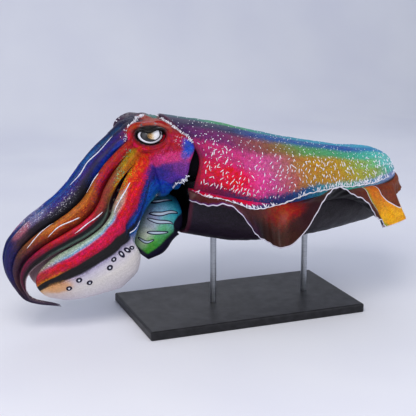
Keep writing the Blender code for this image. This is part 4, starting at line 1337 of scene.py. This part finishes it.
# %% Fin sections
FIN_WIDTH = 0.076
FIN_FRONT_SHARE, FIN_FRONT_PLACES = 0.16, (-0.3, 2.9)
FIN_REAR_SHARE, FIN_REAR_PLACES = 0.35, (16.4, 17.7)
FIN_SWEEP, SWEEP_PLACES = math.radians(32), (14.6, 18.6, 18, 22)
MARGIN_HALF = 0.0012
EDGE_WAVES = ((0.015, 1 / 0.011, 0), (0.02, 1 / 0.027, 1))
BEND, BEND_REACH, BEND_BACK, THINNING = 1.15, 0.25, 0.25, 1.6
# Degrees by which the outer fin hangs down, at places along the mantle.
HANG_PLACES = (-0.03, 0.0, 0.03, 0.06, 0.09, 0.12, 0.15, 0.18, 0.21, 0.24, 0.27, 0.30, 0.33, 0.36,
               0.39, 0.42)
HANG = {"left": (66, 28, -8, 14, 44, 62, 20, -23, -27, -12, 16, 39, 67, 61, 70, 70),
        "right": (20, 38, 56, 42, 8, -16, -20, 4, 36, 54, 40, 12, 30, 60, 70, 70)}
FIN_ROWS, FIN_COLUMNS, ROOT_COLUMNS, FIN_DEPTH = 300, 44, 3, 0.012
FIN_PLACES = np.linspace(0, TAIL_PLACE, FIN_ROWS)
RUFFLE, RUFFLE_LENGTH, RIPPLE, RIPPLE_LENGTH = 0.0030, 0.052, 0.0009, 0.013


def fin_root(place, side):
    """Where the fin leaves the mantle: half width out, at fin height."""
    x = station_x(place)
    half, _, fins, _ = mantle_sizes(x)
    return PLACE + np.stack([x + front_tilt(x, fins), side * half, fins], -1)


def fin_rings(side, word):
    """Closed rings: the upper face from root to margin, then the lower face back to the root."""
    place = FIN_PLACES
    root = fin_root(place, side)
    run = heading(root * (1, 1, 0))
    out = np.stack([-run[:, 1], run[:, 0], 0 * place], -1) * side
    sweep = climb(place, *SWEEP_PLACES[:2]) * (1 - climb(place, *SWEEP_PLACES[2:]))
    sweep = -side * FIN_SWEEP * sweep
    out = np.stack([out[:, 0] * np.cos(sweep) - out[:, 1] * np.sin(sweep),
                    out[:, 0] * np.sin(sweep) + out[:, 1] * np.cos(sweep), 0 * place], -1)
    along = np.concatenate([[0], np.cumsum(np.linalg.norm(np.diff(root, axis=0), axis=1))])
    hang = np.radians(through(HANG_PLACES, HANG[word], root[:, 0] - PLACE[0]))[:, None]
    width = FIN_WIDTH * (FIN_FRONT_SHARE + (1 - FIN_FRONT_SHARE) * climb(place, *FIN_FRONT_PLACES))
    width = width * (1 - (1 - FIN_REAR_SHARE) * climb(place, *FIN_REAR_PLACES))
    width = width * (1 + waves(along, EDGE_WAVES))
    q = np.linspace(0, 1, FIN_COLUMNS)
    slope = -hang * (BEND * ease(q / BEND_REACH) - BEND_BACK * q * q)
    level, rise = np.cos(slope)[..., None], np.sin(slope)[..., None]
    across = out[:, None] * level + Z_AXIS * rise
    normal = Z_AXIS * level - out[:, None] * rise
    steps = across * (width / (FIN_COLUMNS - 1))[:, None, None]
    steps = np.concatenate([0 * steps[:, :1], steps[:, :-1]], axis=1)
    centre = root[:, None] + np.cumsum(steps, axis=1)
    phase = along[:, None] * 2 * np.pi
    shaken = phase / RIPPLE_LENGTH + 3 * q + 2 * noise(centre, 0.05, 8)
    ruffle = (RUFFLE * q ** 2 * np.sin(phase / RUFFLE_LENGTH + side)
              + RIPPLE * q ** 1.5 * np.sin(shaken))
    centre = centre + normal * ruffle[..., None]
    half = root_band(station_x(place))[:, None]
    thick = MARGIN_HALF + (half - MARGIN_HALF) * (1 - q) ** THINNING
    thick = (thick * np.sqrt(np.clip((1.02 - q) / 0.05, 0.12, 1)))[..., None]
    depth = FIN_DEPTH * np.linspace(1, 0, ROOT_COLUMNS + 1)[:-1, None]
    inner = root[:, None] - out[:, None] * depth
    lift = Z_AXIS * thick[:, :1]
    upper = np.concatenate([inner + lift, centre + normal * thick], axis=1)
    lower = np.concatenate([inner - lift, centre - normal * thick], axis=1)
    reach = np.concatenate([np.zeros(ROOT_COLUMNS), q])
    return np.concatenate([upper, lower[:, ::-1]], axis=1), np.concatenate([reach, reach[::-1]])


def build_fin(side, word):
    """Makes a fin and returns its upper face, with its places along and its reach."""
    rings, reach = fin_rings(side, word)
    index = numbered(rings.shape[:2])
    half = index.shape[1] // 2
    ends = [grid_quads(np.stack([index[row, :half], index[row, :half - 1:-1]]), closed=False)
            for row in (0, -1)]
    along = mantle_share(rings[..., 0] - PLACE[0])
    reach = np.broadcast_to(reach, along.shape)
    left, right = (np.interp(reach, TONGUE_REACH, edge) for edge in (TONGUE_LEFT, TONGUE_RIGHT))
    root = along[:, ROOT_COLUMNS:ROOT_COLUMNS + 1]
    nodes = [f"fin_{word}_{length}" for length in ("front", "middle", "rear")]
    put_piece(f"fin_{word}", rings.reshape(-1, 3), np.concatenate([grid_quads(index), *ends]), (),
              FIN_SKIN, "fin_skin", nodes, along=along, reach=reach,
              under=0 * along + (np.arange(2 * half) >= half),
              line=reach - np.interp(root, LINE_PLACES, LINE_REACH),
              tongue=(root - left) / (right - left))
    return rings[:, ROOT_COLUMNS:half], FIN_PLACES, reach[:, ROOT_COLUMNS:half]


# %% Paint the fins
# The mantle's colour runs out onto the fin up to this reach. The golden tongue, a painted highlight
# where the rear fold catches the light, lies further back, between a left and a right edge at each
# reach.
LINE_PLACES = (0.01, 0.03, 0.06, 0.09, 0.15, 0.18, 0.23, 0.26, 0.30, 0.34, 0.40, 0.45)
LINE_REACH = (0.0, 0.14, 0.30, 0.37, 0.37, 0.28, 0.28, 0.23, 0.16, 0.09, 0.02, -0.01)
TONGUE_REACH = (0.0, 0.26, 0.48, 0.68, 0.95, 1.0)
TONGUE_LEFT = (0.765, 0.76, 0.76, 0.785, 0.83, 0.835)
TONGUE_RIGHT = (0.82, 0.835, 0.865, 0.893, 0.93, 0.94)
# The red near 0.33–0.43 of the root wash is a painted highlight on the lobe, and the near-black
# near 0.46–0.60 of both washes painted shade in the fold.
FIN_ROOT_WASH = {0.0: "3a161a", 0.06: "4a1a1a", 0.13: "54201c", 0.20: "341618", 0.27: "4a1e18",
                 0.33: "7c2418", 0.38: "982a1a", 0.43: "7c1c16", 0.48: "341214", 0.58: "180c10",
                 0.68: "44160e", 0.90: "743016", 1.0: "7c3a16"}
FIN_MARGIN_WASH = {0.0: "3c1e50", 0.06: "5c2c8c", 0.16: "5a2c94", 0.20: "2c1838", 0.25: "1e1214",
                   0.31: "38201c", 0.36: "40241e", 0.41: "30161a", 0.46: "240e12", 0.60: "120c12",
                   0.68: "280f0e", 0.90: "5c2410", 1.0: "6c3414"}
TONGUE_HIGHLIGHT_WASH = {0.0: "b0541a", 0.3: "cc7418", 0.6: "dc9418", 0.8: "e8a81c", 1.0: "d8981c"}
FIN_UNDERSIDE_SHADE_WASH = {0.0: "0c080e", 0.5: "0e0a0f", 0.85: "140c10", 0.95: "2c180c", 1.0: "2c180c"}


def fin_paint(tree):
    """Brown and red washes with a painted highlight and painted shade, the mantle's colour up to
    the root line, the golden tongue as painted highlight, and the lower face near black as painted
    shade.
    """
    along, reach, under, line, tongue = read(tree, "along", "reach", "under", "line", "tongue")
    soft = cloud(tree, 40, 3.0, 0.6) - 0.5
    ragged = cloud(tree, 260, 3.0, 0.75) - 0.5
    rays = cloud(tree, 160, 2.0, 0.6, (1.0, 0.12, 0.12))
    place = soft * 0.05 + along
    height = soft * 0.3 + ragged * 0.3 + reach
    start = between(place, 0.25, 0.17) * 0.42 + 0.33
    paint = lay(ramp(place, FIN_ROOT_WASH), between(height - start, 0.0, 0.35),
                ramp(place, FIN_MARGIN_WASH))
    # Painted highlight: the golden tongue.
    gold = between(tongue, -0.03, 0.01) * between(tongue, 1.02, 0.98)
    paint = lay(paint, gold, ramp(soft * 0.3 + reach, TONGUE_HIGHLIGHT_WASH))
    paint = lay(paint, gold * between(ragged * 0.3 + tongue, 0.22, 0.02), "7c8a2c")
    # Painted shade: the lower face near black.
    paint = dapple(lay(paint, under * between(reach, 1.0, 0.97), ramp(place, FIN_UNDERSIDE_SHADE_WASH)))
    above = 1.0 - under
    ends = maths("MAXIMUM", *[band(tongue, edge, 0.012, 0.012) for edge in (0.0, 1.0)])
    margin = maths("MAXIMUM", between(reach, 0.978, 0.99), above * ends)
    paint = layered(paint, (margin * 0.85, "d8d4e4"),
                    (between(line, 0.0, -0.02) * above, mantle_wash(along, line * 0.9 + 1.0)))
    return {"colour": paint, "height": rays + grain(tree), "bump": 0.35,
            "roughness": cloud(tree, 50) * 0.2 + 0.42}


FIN_SKIN = new_skin("fin_skin", fin_paint)
fin_grids = {side: build_fin(side, word) for side, word in SIDES.items()}

# %% [markdown]
# ## Funnel
# Under the throat lies the funnel, the soft tube that the animal swims and breathes with. It opens
# forwards and down with a thick lip. Raised welts lie across its sides. Its underside, the lip and
# the bore are painted dark as shade, and a thin dark line of painted shade lies in the groove round
# each welt.

# %% Funnel
# Each station: x and z of its middle, its half width and its half height.
FUNNEL_STATIONS = ((-0.009, -0.016, 0.031, 0.029), (-0.030, -0.017, 0.035, 0.0385),
                   (-0.046, -0.034, 0.034, 0.0345), (-0.061, -0.056, 0.029, 0.028),
                   (-0.077, -0.075, 0.023, 0.0195))
FUNNEL_ROWS, FUNNEL_COLUMNS, FUNNEL_WALL, FUNNEL_DEPTH = 150, 208, 0.0040, 0.030
# Each welt is a line through (degrees from the top, place along), with its greatest half width.
WELTS = (((9, 0.29), (27, 0.24), (34, 0.16), 0.0019), ((31, 0.39), (62, 0.29), (73, 0.10), 0.0023),
         ((33, 0.47), (69, 0.40), (102, 0.24), 0.0026),
         ((52, 0.64), (80, 0.57), (107, 0.46), 0.0024),
         ((27, 0.82), (65, 0.80), (84, 0.69), 0.0022))
WELT_HIGH, WELT_EDGE, FUNNEL_LENGTH, FUNNEL_REACH = 0.0016, 0.0015, 0.096, 0.033
WELT_GROOVE, BORE_NARROWING = ((0.0005, 0.0004, 0.0008),), 0.004
FUNNEL_BUMPS = ((0.0006, 0.012, 9),)
FLARE, THROAT_BULGES = ((0.05, 1, 0.08),), ((0.12, 0.6, 0.35), (0.24, 0.80, 0.17))


def funnel_frame(u):
    """Centre, direction up, run and half sizes of the funnel at u, from neck (0) to mouth (1)."""
    x, z, wide, high = along_path(FUNNEL_STATIONS, u)
    middle = PLACE + np.stack([x, 0 * u, z], -1)
    run = heading(middle)
    return middle, np.stack([run[:, 2], 0 * u, -run[:, 0]], -1), run, wide, high


def welt_distance(u, angle):
    """Metres from the nearest welt, a lens drawn along its line: below 0 inside one."""
    found = []
    for *line, half in WELTS:
        s = np.linspace(0, 1, 25)
        degrees, place = along_path(line, s)
        across = (np.abs(angle)[..., None] - np.radians(degrees)) * FUNNEL_REACH
        away = np.hypot(across, (u[..., None] - place) * FUNNEL_LENGTH)
        found.append((away - half * np.sqrt(1.0001 - (2 * s - 1) ** 2)).min(-1))
    return np.min(found, axis=0)


def build_funnel():
    """Outer rings with welts, a half-round lip, then inner rings back up the bore."""
    u = np.linspace(0, 1, FUNNEL_ROWS)
    angle = signed_circle(FUNNEL_COLUMNS)
    middle, up, run, wide, high = funnel_frame(u)
    welt = welt_distance(u[:, None], angle[None])
    flare = 1 + hills(u, FLARE)
    lift = WELT_HIGH * climb(welt, 0, -WELT_EDGE) - hills(welt, WELT_GROOVE)

    def ring(k, shrink=0.0, back=0.0):
        k = np.atleast_1d(k)
        lower = 1 + hills(u[k], THROAT_BULGES)[:, None] * climb(-np.cos(angle), 0, 0.9)
        tall = (high[k] * flare[k] - shrink)[:, None] * lower * np.cos(angle)
        broad = (wide[k] * flare[k] - shrink)[:, None] * np.sin(angle)
        return (middle[k][:, None] + broad[..., None] * Y_AXIS + up[k][:, None] * tall[..., None]
                - run[k][:, None] * back)

    outer = ring(np.arange(FUNNEL_ROWS))
    outer = outer + unit(outer - middle[:, None]) * lift[..., None]
    rough = uneven(outer, FUNNEL_BUMPS) * climb(u, 1, 0.9)[:, None]
    outer = outer + unit(outer - middle[:, None]) * rough[..., None]
    lip = [ring(-1, FUNNEL_WALL / 2 * (1 - math.cos(a)), -FUNNEL_WALL / 2 * math.sin(a))
           for a in np.linspace(0, np.pi, 9)[1:]]
    inner = [ring(-1, FUNNEL_WALL + BORE_NARROWING * d, FUNNEL_DEPTH * d)
             for d in np.linspace(0, 1, 12)[1:]]
    rings = np.concatenate([outer, *lip, *inner])
    points, quads, tris = closed_tube(rings)
    extra = len(rings) - FUNNEL_ROWS
    length = np.append(u, 1 + np.linspace(0, 1, extra))
    welt = np.concatenate([welt, np.ones((extra, FUNNEL_COLUMNS))])
    values = length[:, None], np.abs(angle) / np.pi, welt
    return points, quads, tris, on_points(rings.shape[:2], values, ((0, 2), (0, 0), (1, 1)))


def funnel_paint(tree):
    """Teal at the throat, lavender and cream in the middle, green below; painted shade on the
    underside, the lip, the bore and in the grooves round the welts.
    """
    along, around, welt = read(tree, "along", "around", "welt")
    soft = cloud(tree, 60, 3.0, 0.6) - 0.5
    ragged = cloud(tree, 420, 3.0, 0.75) - 0.5
    place = soft * 0.2 + along
    turn = soft * 0.16 + ragged * 0.12 + around
    front = ramp(place, {0.0: "1c60a8", 0.16: "3c98b0", 0.28: "6a9cbc", 0.40: "9098bc",
                         0.55: "a8b4bc", 0.72: "c4ccba", 0.9: "98b890", 1.0: "6a9c70"})
    side = ramp(place, {0.0: "1c68a8", 0.14: "3ca0b0", 0.28: "58a8b0", 0.42: "68b090",
                        0.56: "58a86c", 0.72: "4ca044", 0.9: "3c8c2c", 1.0: "2c6c24"})
    low = ramp(place, {0.0: "1c4878", 0.25: "2a8068", 0.5: "3a9040", 0.8: "2c7c20", 1.0: "1c5418"})
    paint = lay(front, between(turn, 0.30, 0.48), side)
    paint = dapple(lay(paint, between(turn, 0.56, 0.70), low), 0.8)
    # Painted shade: the underside dark below a line that moves along the funnel.
    start = ramp(along, {0.0: "5c5c5c", 0.10: "6c6c6c", 0.22: "8a8a8a", 0.4: "a4a4a4",
                         0.7: "9c9c9c", 1.0: "8c8c8c"})
    dark = between(ragged * 0.05 + around - maths("POWER", start, 0.4545), 0.0, 0.05)
    paint = layered(paint, (between(welt, 0.0, -0.0006), "a8b8cc"),
                    # Painted shade in the grooves round the welts, on the underside and at the
                    # mouth.
                    (band(welt, 0.0001, 0.0006, 0.0003), "141034"), (dark, "120e26"),
                    (between(along, 0.93, 0.965), "120e26"))
    return {"colour": paint, "height": grain(tree), "bump": 0.35}


FUNNEL_SKIN = new_skin("funnel_skin", funnel_paint)
points, quads, tris, (along, around, welt) = build_funnel()
put_piece("funnel_skin", points, quads, tris, FUNNEL_SKIN, "funnel_skin", ["funnel"], along=along,
          around=around, welt=welt)

# %% [markdown]
# ## White lines, papillae and frills
# Pale raised lines run along the arms and over the root of each fin. The mantle carries hundreds
# of papillae, small white bumps above and longer welts lower down, and frills of spikes stand in
# front of and behind each eye. They could be part of the skins, but as pieces of their own they
# keep crisp outlines. Every line is a thin tube half sunk in the skin.

# %% Grids of the finished skins
def head_grid(side):
    """The head's rows on one side, with their places along and their angles."""
    count = 2 * sum(SECTOR_COLUMNS)
    rows = len(NECK_STEPS) + HEAD_ROWS
    order = half_circle(side, count)
    points, around = (v[:rows * count].reshape(rows, count, -1)[:, order]
                      for v in (skin_points, skin_around))
    return points, skin_along[:rows * count:count], np.degrees(around[..., 0])


def arm_grid(arm, side):
    """The outer face of one arm, with its places along and its angles."""
    rings, t, angle, _ = arm_rings(arm, side)
    points = skin_relief(rings.reshape(-1, 3), t.ravel(), angle.ravel()).reshape(rings.shape)
    outer = slice(0, SECTOR_COLUMNS[arm] + 1)
    return points[:, outer], t[:, 0], np.degrees(angle[:, outer])


def mantle_grid(side):
    """The mantle's outer rows on one side, with their places along and shares around."""
    front = INSIDE_ROWS + LIP_ROWS - 1
    order = half_circle(side, MANTLE_COLUMNS)
    grid = mantle_points[:-2].reshape(-1, MANTLE_COLUMNS, 3)[front:, order]
    share = np.broadcast_to(np.linspace(0, 1, len(order)), grid.shape[:2])
    return grid, mantle_share(station_x(MANTLE_PLACES)), share


head_grids = {side: head_grid(side) for side in SIDES}
arm_grids = {(arm, side): arm_grid(arm, side) for arm in range(4) for side in SIDES}
mantle_grids = {side: mantle_grid(side) for side in SIDES}

# %% Raised lines
# Each line: arm, radius, and places (along, degrees).
ARM_LINES = (
    (0, 0.0010, ((0.03, 12), (0.12, 17), (0.19, 14), (0.25, 16), (0.32, 11))),
    (1, 0.0010, ((0.18, 40), (0.24, 38), (0.30, 36.5), (0.36, 36), (0.42, 35.5))),
    (1, 0.0007, ((0.48, 37), (0.55, 40), (0.60, 43), (0.66, 46))),
    (1, 0.0009, ((0.24, 51), (0.32, 51.5), (0.41, 49), (0.48, 47), (0.55, 49.5))),
    (2, 0.0008, ((0.28, 65), (0.32, 63), (0.37, 61.5), (0.44, 62.5))),
    (3, 0.0010, ((0.09, 81), (0.13, 82), (0.18, 81), (0.23, 79))),
    (3, 0.0010, ((0.13, 131), (0.16, 126), (0.19, 116), (0.21, 110))))

# The line over a fin: where it starts and ends along the mantle, its points, and its waves.
ROOT_LINE, ROOT_WAVES = (0.012, 0.93, 260), ((0.0006, 190, 0),)


def root_line(side):
    """The line over a fin: on the fin's upper face in front, and on the mantle further back."""
    along = np.linspace(*ROOT_LINE)
    x = MANTLE_FRONT + along * (MANTLE_END - MANTLE_FRONT)
    places = np.linspace(0, TAIL_PLACE, 400)
    reach = np.interp(along, LINE_PLACES, LINE_REACH)
    share = np.minimum(np.interp(along, ROOT_PLACES, ROOT_AROUND), 0.472)
    on_fin, _, _, fin_out = frame_on(fin_grids[side], np.interp(x, station_x(places), places),
                                     np.maximum(reach, 0.0), 0.02)
    on_mantle, _, _, out = frame_on(mantle_grids[side], along, share)
    weight = climb(along, 0.36, 0.48)[:, None]
    fin_out = fin_out * np.where(fin_out[:, 2:] < 0, -1, 1)
    point = on_fin * (1 - weight) + on_mantle * weight
    point = point + waves(along, ROOT_WAVES)[:, None] * Z_AXIS
    return point, unit(fin_out * (1 - weight) + out * weight)


def white_paint(tree):
    shade = ramp(cloud(tree, 300, 3.0, 0.7), {0.3: "b8bcd8", 0.5: "dcdeea", 0.7: "f0f0f6"})
    return {"colour": shade, "height": cloud(tree, 900), "bump": 0.2}


WHITE = new_skin("papilla", white_paint, 0.5, 0.05)
lines = [ridge(*path_on(arm_grids[arm, side], path), radius, arm + k)
         for side in SIDES for k, (arm, radius, path) in enumerate(ARM_LINES)]
put_piece("arm_lines", *join(lines), WHITE, "arm_skin")
lines = [ridge(*root_line(side), 0.0011, 5) for side in SIDES]
put_piece("root_lines", *join(lines), WHITE, "fin_skin")


# %% Papillae of the mantle
PAPILLA_ALONG, PAPILLA_AROUND, SHAKE_ALONG, SHAKE_AROUND = 66, 17, 0.008, 0.034
PAPILLA_SIZE, PAPILLA_STRETCH = (0.00055, 0.00095), (1.8, 5.0)
PAPILLA_TURN, STRETCHED_SHARE = 0.15, 0.75
STROKE_LENGTH, STROKE_SIZE, STROKE_RISE = (0.0022, 0.0055), (0.0006, 0.0009), (0.001, 0.006)


def mantle_papillae(side):
    """Domes on a shaken grid: round on the back, drawn out down the side below half height."""
    along, height = np.meshgrid(np.linspace(0.015, 0.985, PAPILLA_ALONG),
                                np.linspace(0.05, 0.96, PAPILLA_AROUND))
    along = (along + RANDOM.uniform(-SHAKE_ALONG, SHAKE_ALONG, along.shape)).ravel()
    height = (height + RANDOM.uniform(-SHAKE_AROUND, SHAKE_AROUND, height.shape)).ravel()
    likely = 0.34 + 0.44 * climb(height, 0.15, 0.7) - 0.25 * climb(along, 0.75, 1.0)
    kept = RANDOM.uniform(0, 1, along.shape) < likely
    along, height = np.clip(along[kept], 0.008, 0.97), height[kept]
    around = np.minimum(height * np.interp(along, ROOT_PLACES, ROOT_AROUND), 0.468)
    point, run, across, out = frame_on(mantle_grids[side], along, around)
    long = climb(height, 0.30, 0.62) * (RANDOM.uniform(0, 1, along.shape) < STRETCHED_SHARE)
    turn = RANDOM.normal(0, 0.5, along.shape) + PAPILLA_TURN
    size = RANDOM.uniform(*PAPILLA_SIZE, along.shape)
    length = size * (1 + long * RANDOM.uniform(*PAPILLA_STRETCH, along.shape))
    turn, size, length = (v[:, None] for v in (turn, size, length))
    a = across * np.cos(turn) + run * np.sin(turn)
    return scatter(dome(2, 6), point, a * length, np.cross(out, a) * size, out * size * 1.1)


def fringe(side, count=150):
    """Strokes that hang across the root line, from a little above it to a little below."""
    point, out = root_line(side)
    run = heading(point)
    kept = np.sort(RANDOM.integers(4, len(point) - 4, count))
    point, out, run = point[kept], out[kept], run[kept]
    down = unit(np.cross(run, out))
    down = down * np.where(down[:, 2:] > 0, -1, 1)
    turn = RANDOM.normal(0, 0.45, (count, 1))
    a = down * np.cos(turn) + run * np.sin(turn)
    length = RANDOM.uniform(*STROKE_LENGTH, (count, 1))
    size = RANDOM.uniform(*STROKE_SIZE, (count, 1))
    point = point - down * RANDOM.uniform(*STROKE_RISE, (count, 1))
    return scatter(dome(2, 6), point, a * length, np.cross(out, a) * size, out * size * 1.2)


papillae = join([form(side) for side in SIDES for form in (mantle_papillae, fringe)])
put_piece("mantle_papillae", *papillae, WHITE, "mantle_skin")


# %% Frills
# Each frill: number of spikes, their height, spread beside the line, places (along, degrees).
FRILLS = (
    (150, 0.0040, 0.0046, ((0.02, 33), (-0.08, 27), (-0.20, 19), (-0.37, 9), (-0.55, 1))),
    (130, 0.0038, 0.0046, ((-0.92, 3), (-0.935, 16), (-0.94, 32), (-0.95, 48), (-0.96, 62))),
    (64, 0.0034, 0.0040, ((-0.985, 97), (-0.93, 107), (-0.84, 115), (-0.74, 124), (-0.66, 133))))

FRILL_LEAN, FRILL_LIFT, FRILL_THICK, FRILL_SHARE = 0.35, (0, 0, 0.25), (0.0005, 0.0010), (0.5, 1.1)
# On the far side the front frill keeps only its spikes above this place along.
FRILL_END = -0.14


def frill(side, count, high, spread, path):
    """Thin spikes along a path, shaken sideways, leaning out and a little upwards."""
    row, column = along_path(path, np.sort(RANDOM.uniform(0, 1, count)))
    if side > 0 and path[0][0] > 0:
        row, column = row[row > FRILL_END], column[row > FRILL_END]
        count = len(row)
    point, run, across, out = frame_on(head_grids[side], row, np.clip(column, 0.5, 179))
    for direction in (run, across):
        point = point + direction * RANDOM.normal(0, spread / 2, (count, 1))
    lean = unit(out + RANDOM.normal(0, FRILL_LEAN, (count, 3)) + FRILL_LIFT)
    thin = RANDOM.uniform(*FRILL_THICK, (count, 1))
    aside = unit(np.cross(lean, run))
    return scatter(dome(3, 6, 0.5), point, aside * thin, np.cross(lean, aside) * thin,
                   lean * high * RANDOM.uniform(*FRILL_SHARE, (count, 1)))


frills = join([frill(side, *row) for side in SIDES for row in FRILLS])
put_piece("frills", *frills, WHITE, "head_skin")

# %% [markdown]
# ## Suckers and ring marks
# Along the inner face of each arm stand two rows of suckers, small cups that get finer towards the
# tip. On the pale lower arm the skin bears dark rings with a white centre.

# %% Suckers
SUCKER_PAIRS, SUCKER_MOST, SUCKER_ROW, SUCKER_REACH = 26, 0.0034, 0.42, 0.42
SUCKER_START, SUCKER_RUN, SUCKER_CROWDING, SUCKER_TAPER = 0.13, 0.84, 1.5, 0.75
CUP = ((0.55, -0.4), (1.0, 0.35), (0.95, 0.85), (0.62, 0.95), (0.45, 0.45))


def suckers(arm, side, row):
    """Cups on the inner face of an arm, a share SUCKER_ROW beside its middle, facing the centre."""
    u = (np.arange(SUCKER_PAIRS) + 0.5 + 0.25 * row) / SUCKER_PAIRS
    t, half_width, reach, depth = arm_sizes(
        arm, SUCKER_START + SUCKER_RUN * (1 - (1 - u) ** SUCKER_CROWDING))
    reach = np.minimum(reach, SUCKER_REACH)
    share = 1 - 1.96 * depth
    point = section_point(t, side * (arm_middle(arm) + SUCKER_ROW * row * reach), share)
    out = unit(section_point(t, 0.0, 0.0) - point)
    aside = unit(np.cross(heading(point), out))
    room = SUCKER_ROW * reach * share * half_width
    size = np.minimum(room, SUCKER_MOST * (1 - SUCKER_TAPER * u))[:, None]
    return scatter(turned(CUP, 8, 0.3), point, aside * size, np.cross(out, aside) * size,
                   out * size)


def plain(scale, dark, light):
    """Paint that drifts between two colours."""
    return lambda tree: {"colour": ramp(cloud(tree, scale), {0.3: dark, 0.7: light})}


SUCKER_SKIN = new_skin("sucker", plain(300, "c8a8a8", "ead8d2"), 0.4, 0.2)
put_piece("suckers", *join([suckers(arm, side, row) for arm in range(4) for side in SIDES
                            for row in (-1, 1)]), SUCKER_SKIN, "arm_skin")

# %% Ring marks
# Places (along, degrees) and size, width and length in millimetres of each ring.
RING_MARKS = ((0.63, 118, 3.6, 3.6), (0.55, 111, 3.7, 3.7), (0.51, 119, 3.6, 3.6),
              (0.40, 110, 3.7, 3.7), (0.37, 104, 3.4, 3.4), (0.335, 104, 2.9, 6.4),
              (0.305, 106, 2.7, 5.4), (0.28, 110, 2.4, 3.6))
MARK_HIGH = 0.0024


def torus_form(tube=0.46, around=16, sides=6):
    """A closed ring of radius 1: (1 + tube cos b) cos a, (1 + tube cos b) sin a, tube sin b."""
    a, b = np.meshgrid(circle(around), circle(sides), indexing="ij")
    away = 1 + tube * np.cos(b)
    return closed_ring(np.stack([away * np.cos(a), away * np.sin(a), tube * np.sin(b)], -1))


def ring_marks(side, form, share):
    along, degrees, wide, length = np.array(RING_MARKS).T
    point, run, across, out = frame_on(arm_grids[3, side], along, degrees)
    wide, length = (0.001 * share * v[:, None] for v in (wide, length))
    return scatter(form, point, run * wide, across * length, out * MARK_HIGH)


DARK = new_skin("ring_mark", plain(300, "0c0a1c", "181434"))
for name, form, share, skin in (("ring_marks", torus_form(), 1.0, DARK),
                                ("ring_centres", dome(2, 8), 0.5, WHITE)):
    put_piece(name, *join([ring_marks(side, form, share) for side in SIDES]), skin, "arm_skin")

# %% [markdown]
# ## Stand
# The base is a satin black board and the rods are brushed steel. Both keep the solids' own
# shapes and only get their finishes: a faint mottle in the paint, fine lines round the steel.

# %% Stand finishes
def plate_paint(tree):
    return {"colour": ramp(cloud(tree, 90, 4.0), {0.3: "17171a", 0.7: "26262a"}),
            "height": cloud(tree, 1500), "bump": 0.08, "roughness": cloud(tree, 40) * 0.2 + 0.32}


def rod_paint(tree):
    lines = cloud(tree, 300, 3.0, 0.6, (0.15, 0.15, 8.0))
    return {"colour": ramp(lines, {0.3: "8c9096", 0.7: "b8bcc2"}), "height": lines, "bump": 0.1,
            "roughness": lines * 0.2 + 0.22}


PLATE = new_skin("stand_plate", plate_paint, 0.4, 0.0)
STEEL = new_skin("stand_rod", rod_paint, 0.3, 0.0, Metallic=1.0)
for name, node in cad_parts.items():
    if name.startswith("stand_"):
        finish, slot = (PLATE, "stand_plate") if name == "stand_base" else (STEEL, "stand_rod")
        node.data.materials.clear()
        node.data.materials.append(finish)

# %% [markdown]
# ## Studio
# A pale floor with a soft sweep behind it, one large soft light from the upper left, a weaker one
# from the right, a faint one from behind and an even pale sky, so that the colours read as they
# are.

# %% Floor and light
FLOOR_SIZE, FLOOR_BEND = 6.0, 0.6
FLOOR_START, FLOOR_LEVEL, FLOOR_LENGTH = -2.4, 4.2, 9.0


def make_floor():
    """A level sheet that curves up behind the animal: height grows with distance past a line."""
    x, run = np.meshgrid(np.linspace(-FLOOR_SIZE, FLOOR_SIZE, 9), np.linspace(0, FLOOR_LENGTH, 60))
    turn = np.clip((run - FLOOR_LEVEL) / FLOOR_BEND, 0, 0.5 * np.pi)
    past = np.maximum(run - FLOOR_LEVEL - FLOOR_BEND * 0.5 * np.pi, 0)
    y = FLOOR_START + np.minimum(run, FLOOR_LEVEL) + FLOOR_BEND * np.sin(turn)
    points = np.stack([x, y, FLOOR_BEND * (1 - np.cos(turn)) + past], -1).reshape(-1, 3)
    mesh = bpy.data.meshes.new("floor")
    mesh.from_pydata(points.tolist(), [], grid_quads(numbered(x.shape), closed=False).tolist())
    mesh.shade_smooth()
    mesh.materials.append(new_skin("floor", plain(3, "dfe2ee", "e6e9f2"), 0.9, 0.0))
    put_object("floor", mesh, (0, 0, 0))


make_floor()
for name, at, size, power, tint in (("key", (-1.0, -1.5, 1.9), 1.2, 40, "fff8f0"),
                                    ("fill", (1.7, -1.6, 0.9), 1.6, 14, "f0f4ff"),
                                    ("back", (0.5, 1.5, 1.5), 1.2, 5, "ffffff")):
    light = put_object(name, bpy.data.lights.new(name, "AREA"), at, CAMERA_AIM)
    light.data.size, light.data.energy = size, power
    light.data.color = colour(tint)[:3]
world = bpy.data.worlds.new("studio")
world.use_nodes = True
world.node_tree.nodes["Background"].inputs["Color"].default_value = colour("dfe3ee")
world.node_tree.nodes["Background"].inputs["Strength"].default_value = 0.62
bpy.context.scene.world = world
bpy.context.scene.view_settings.view_transform = "Standard"
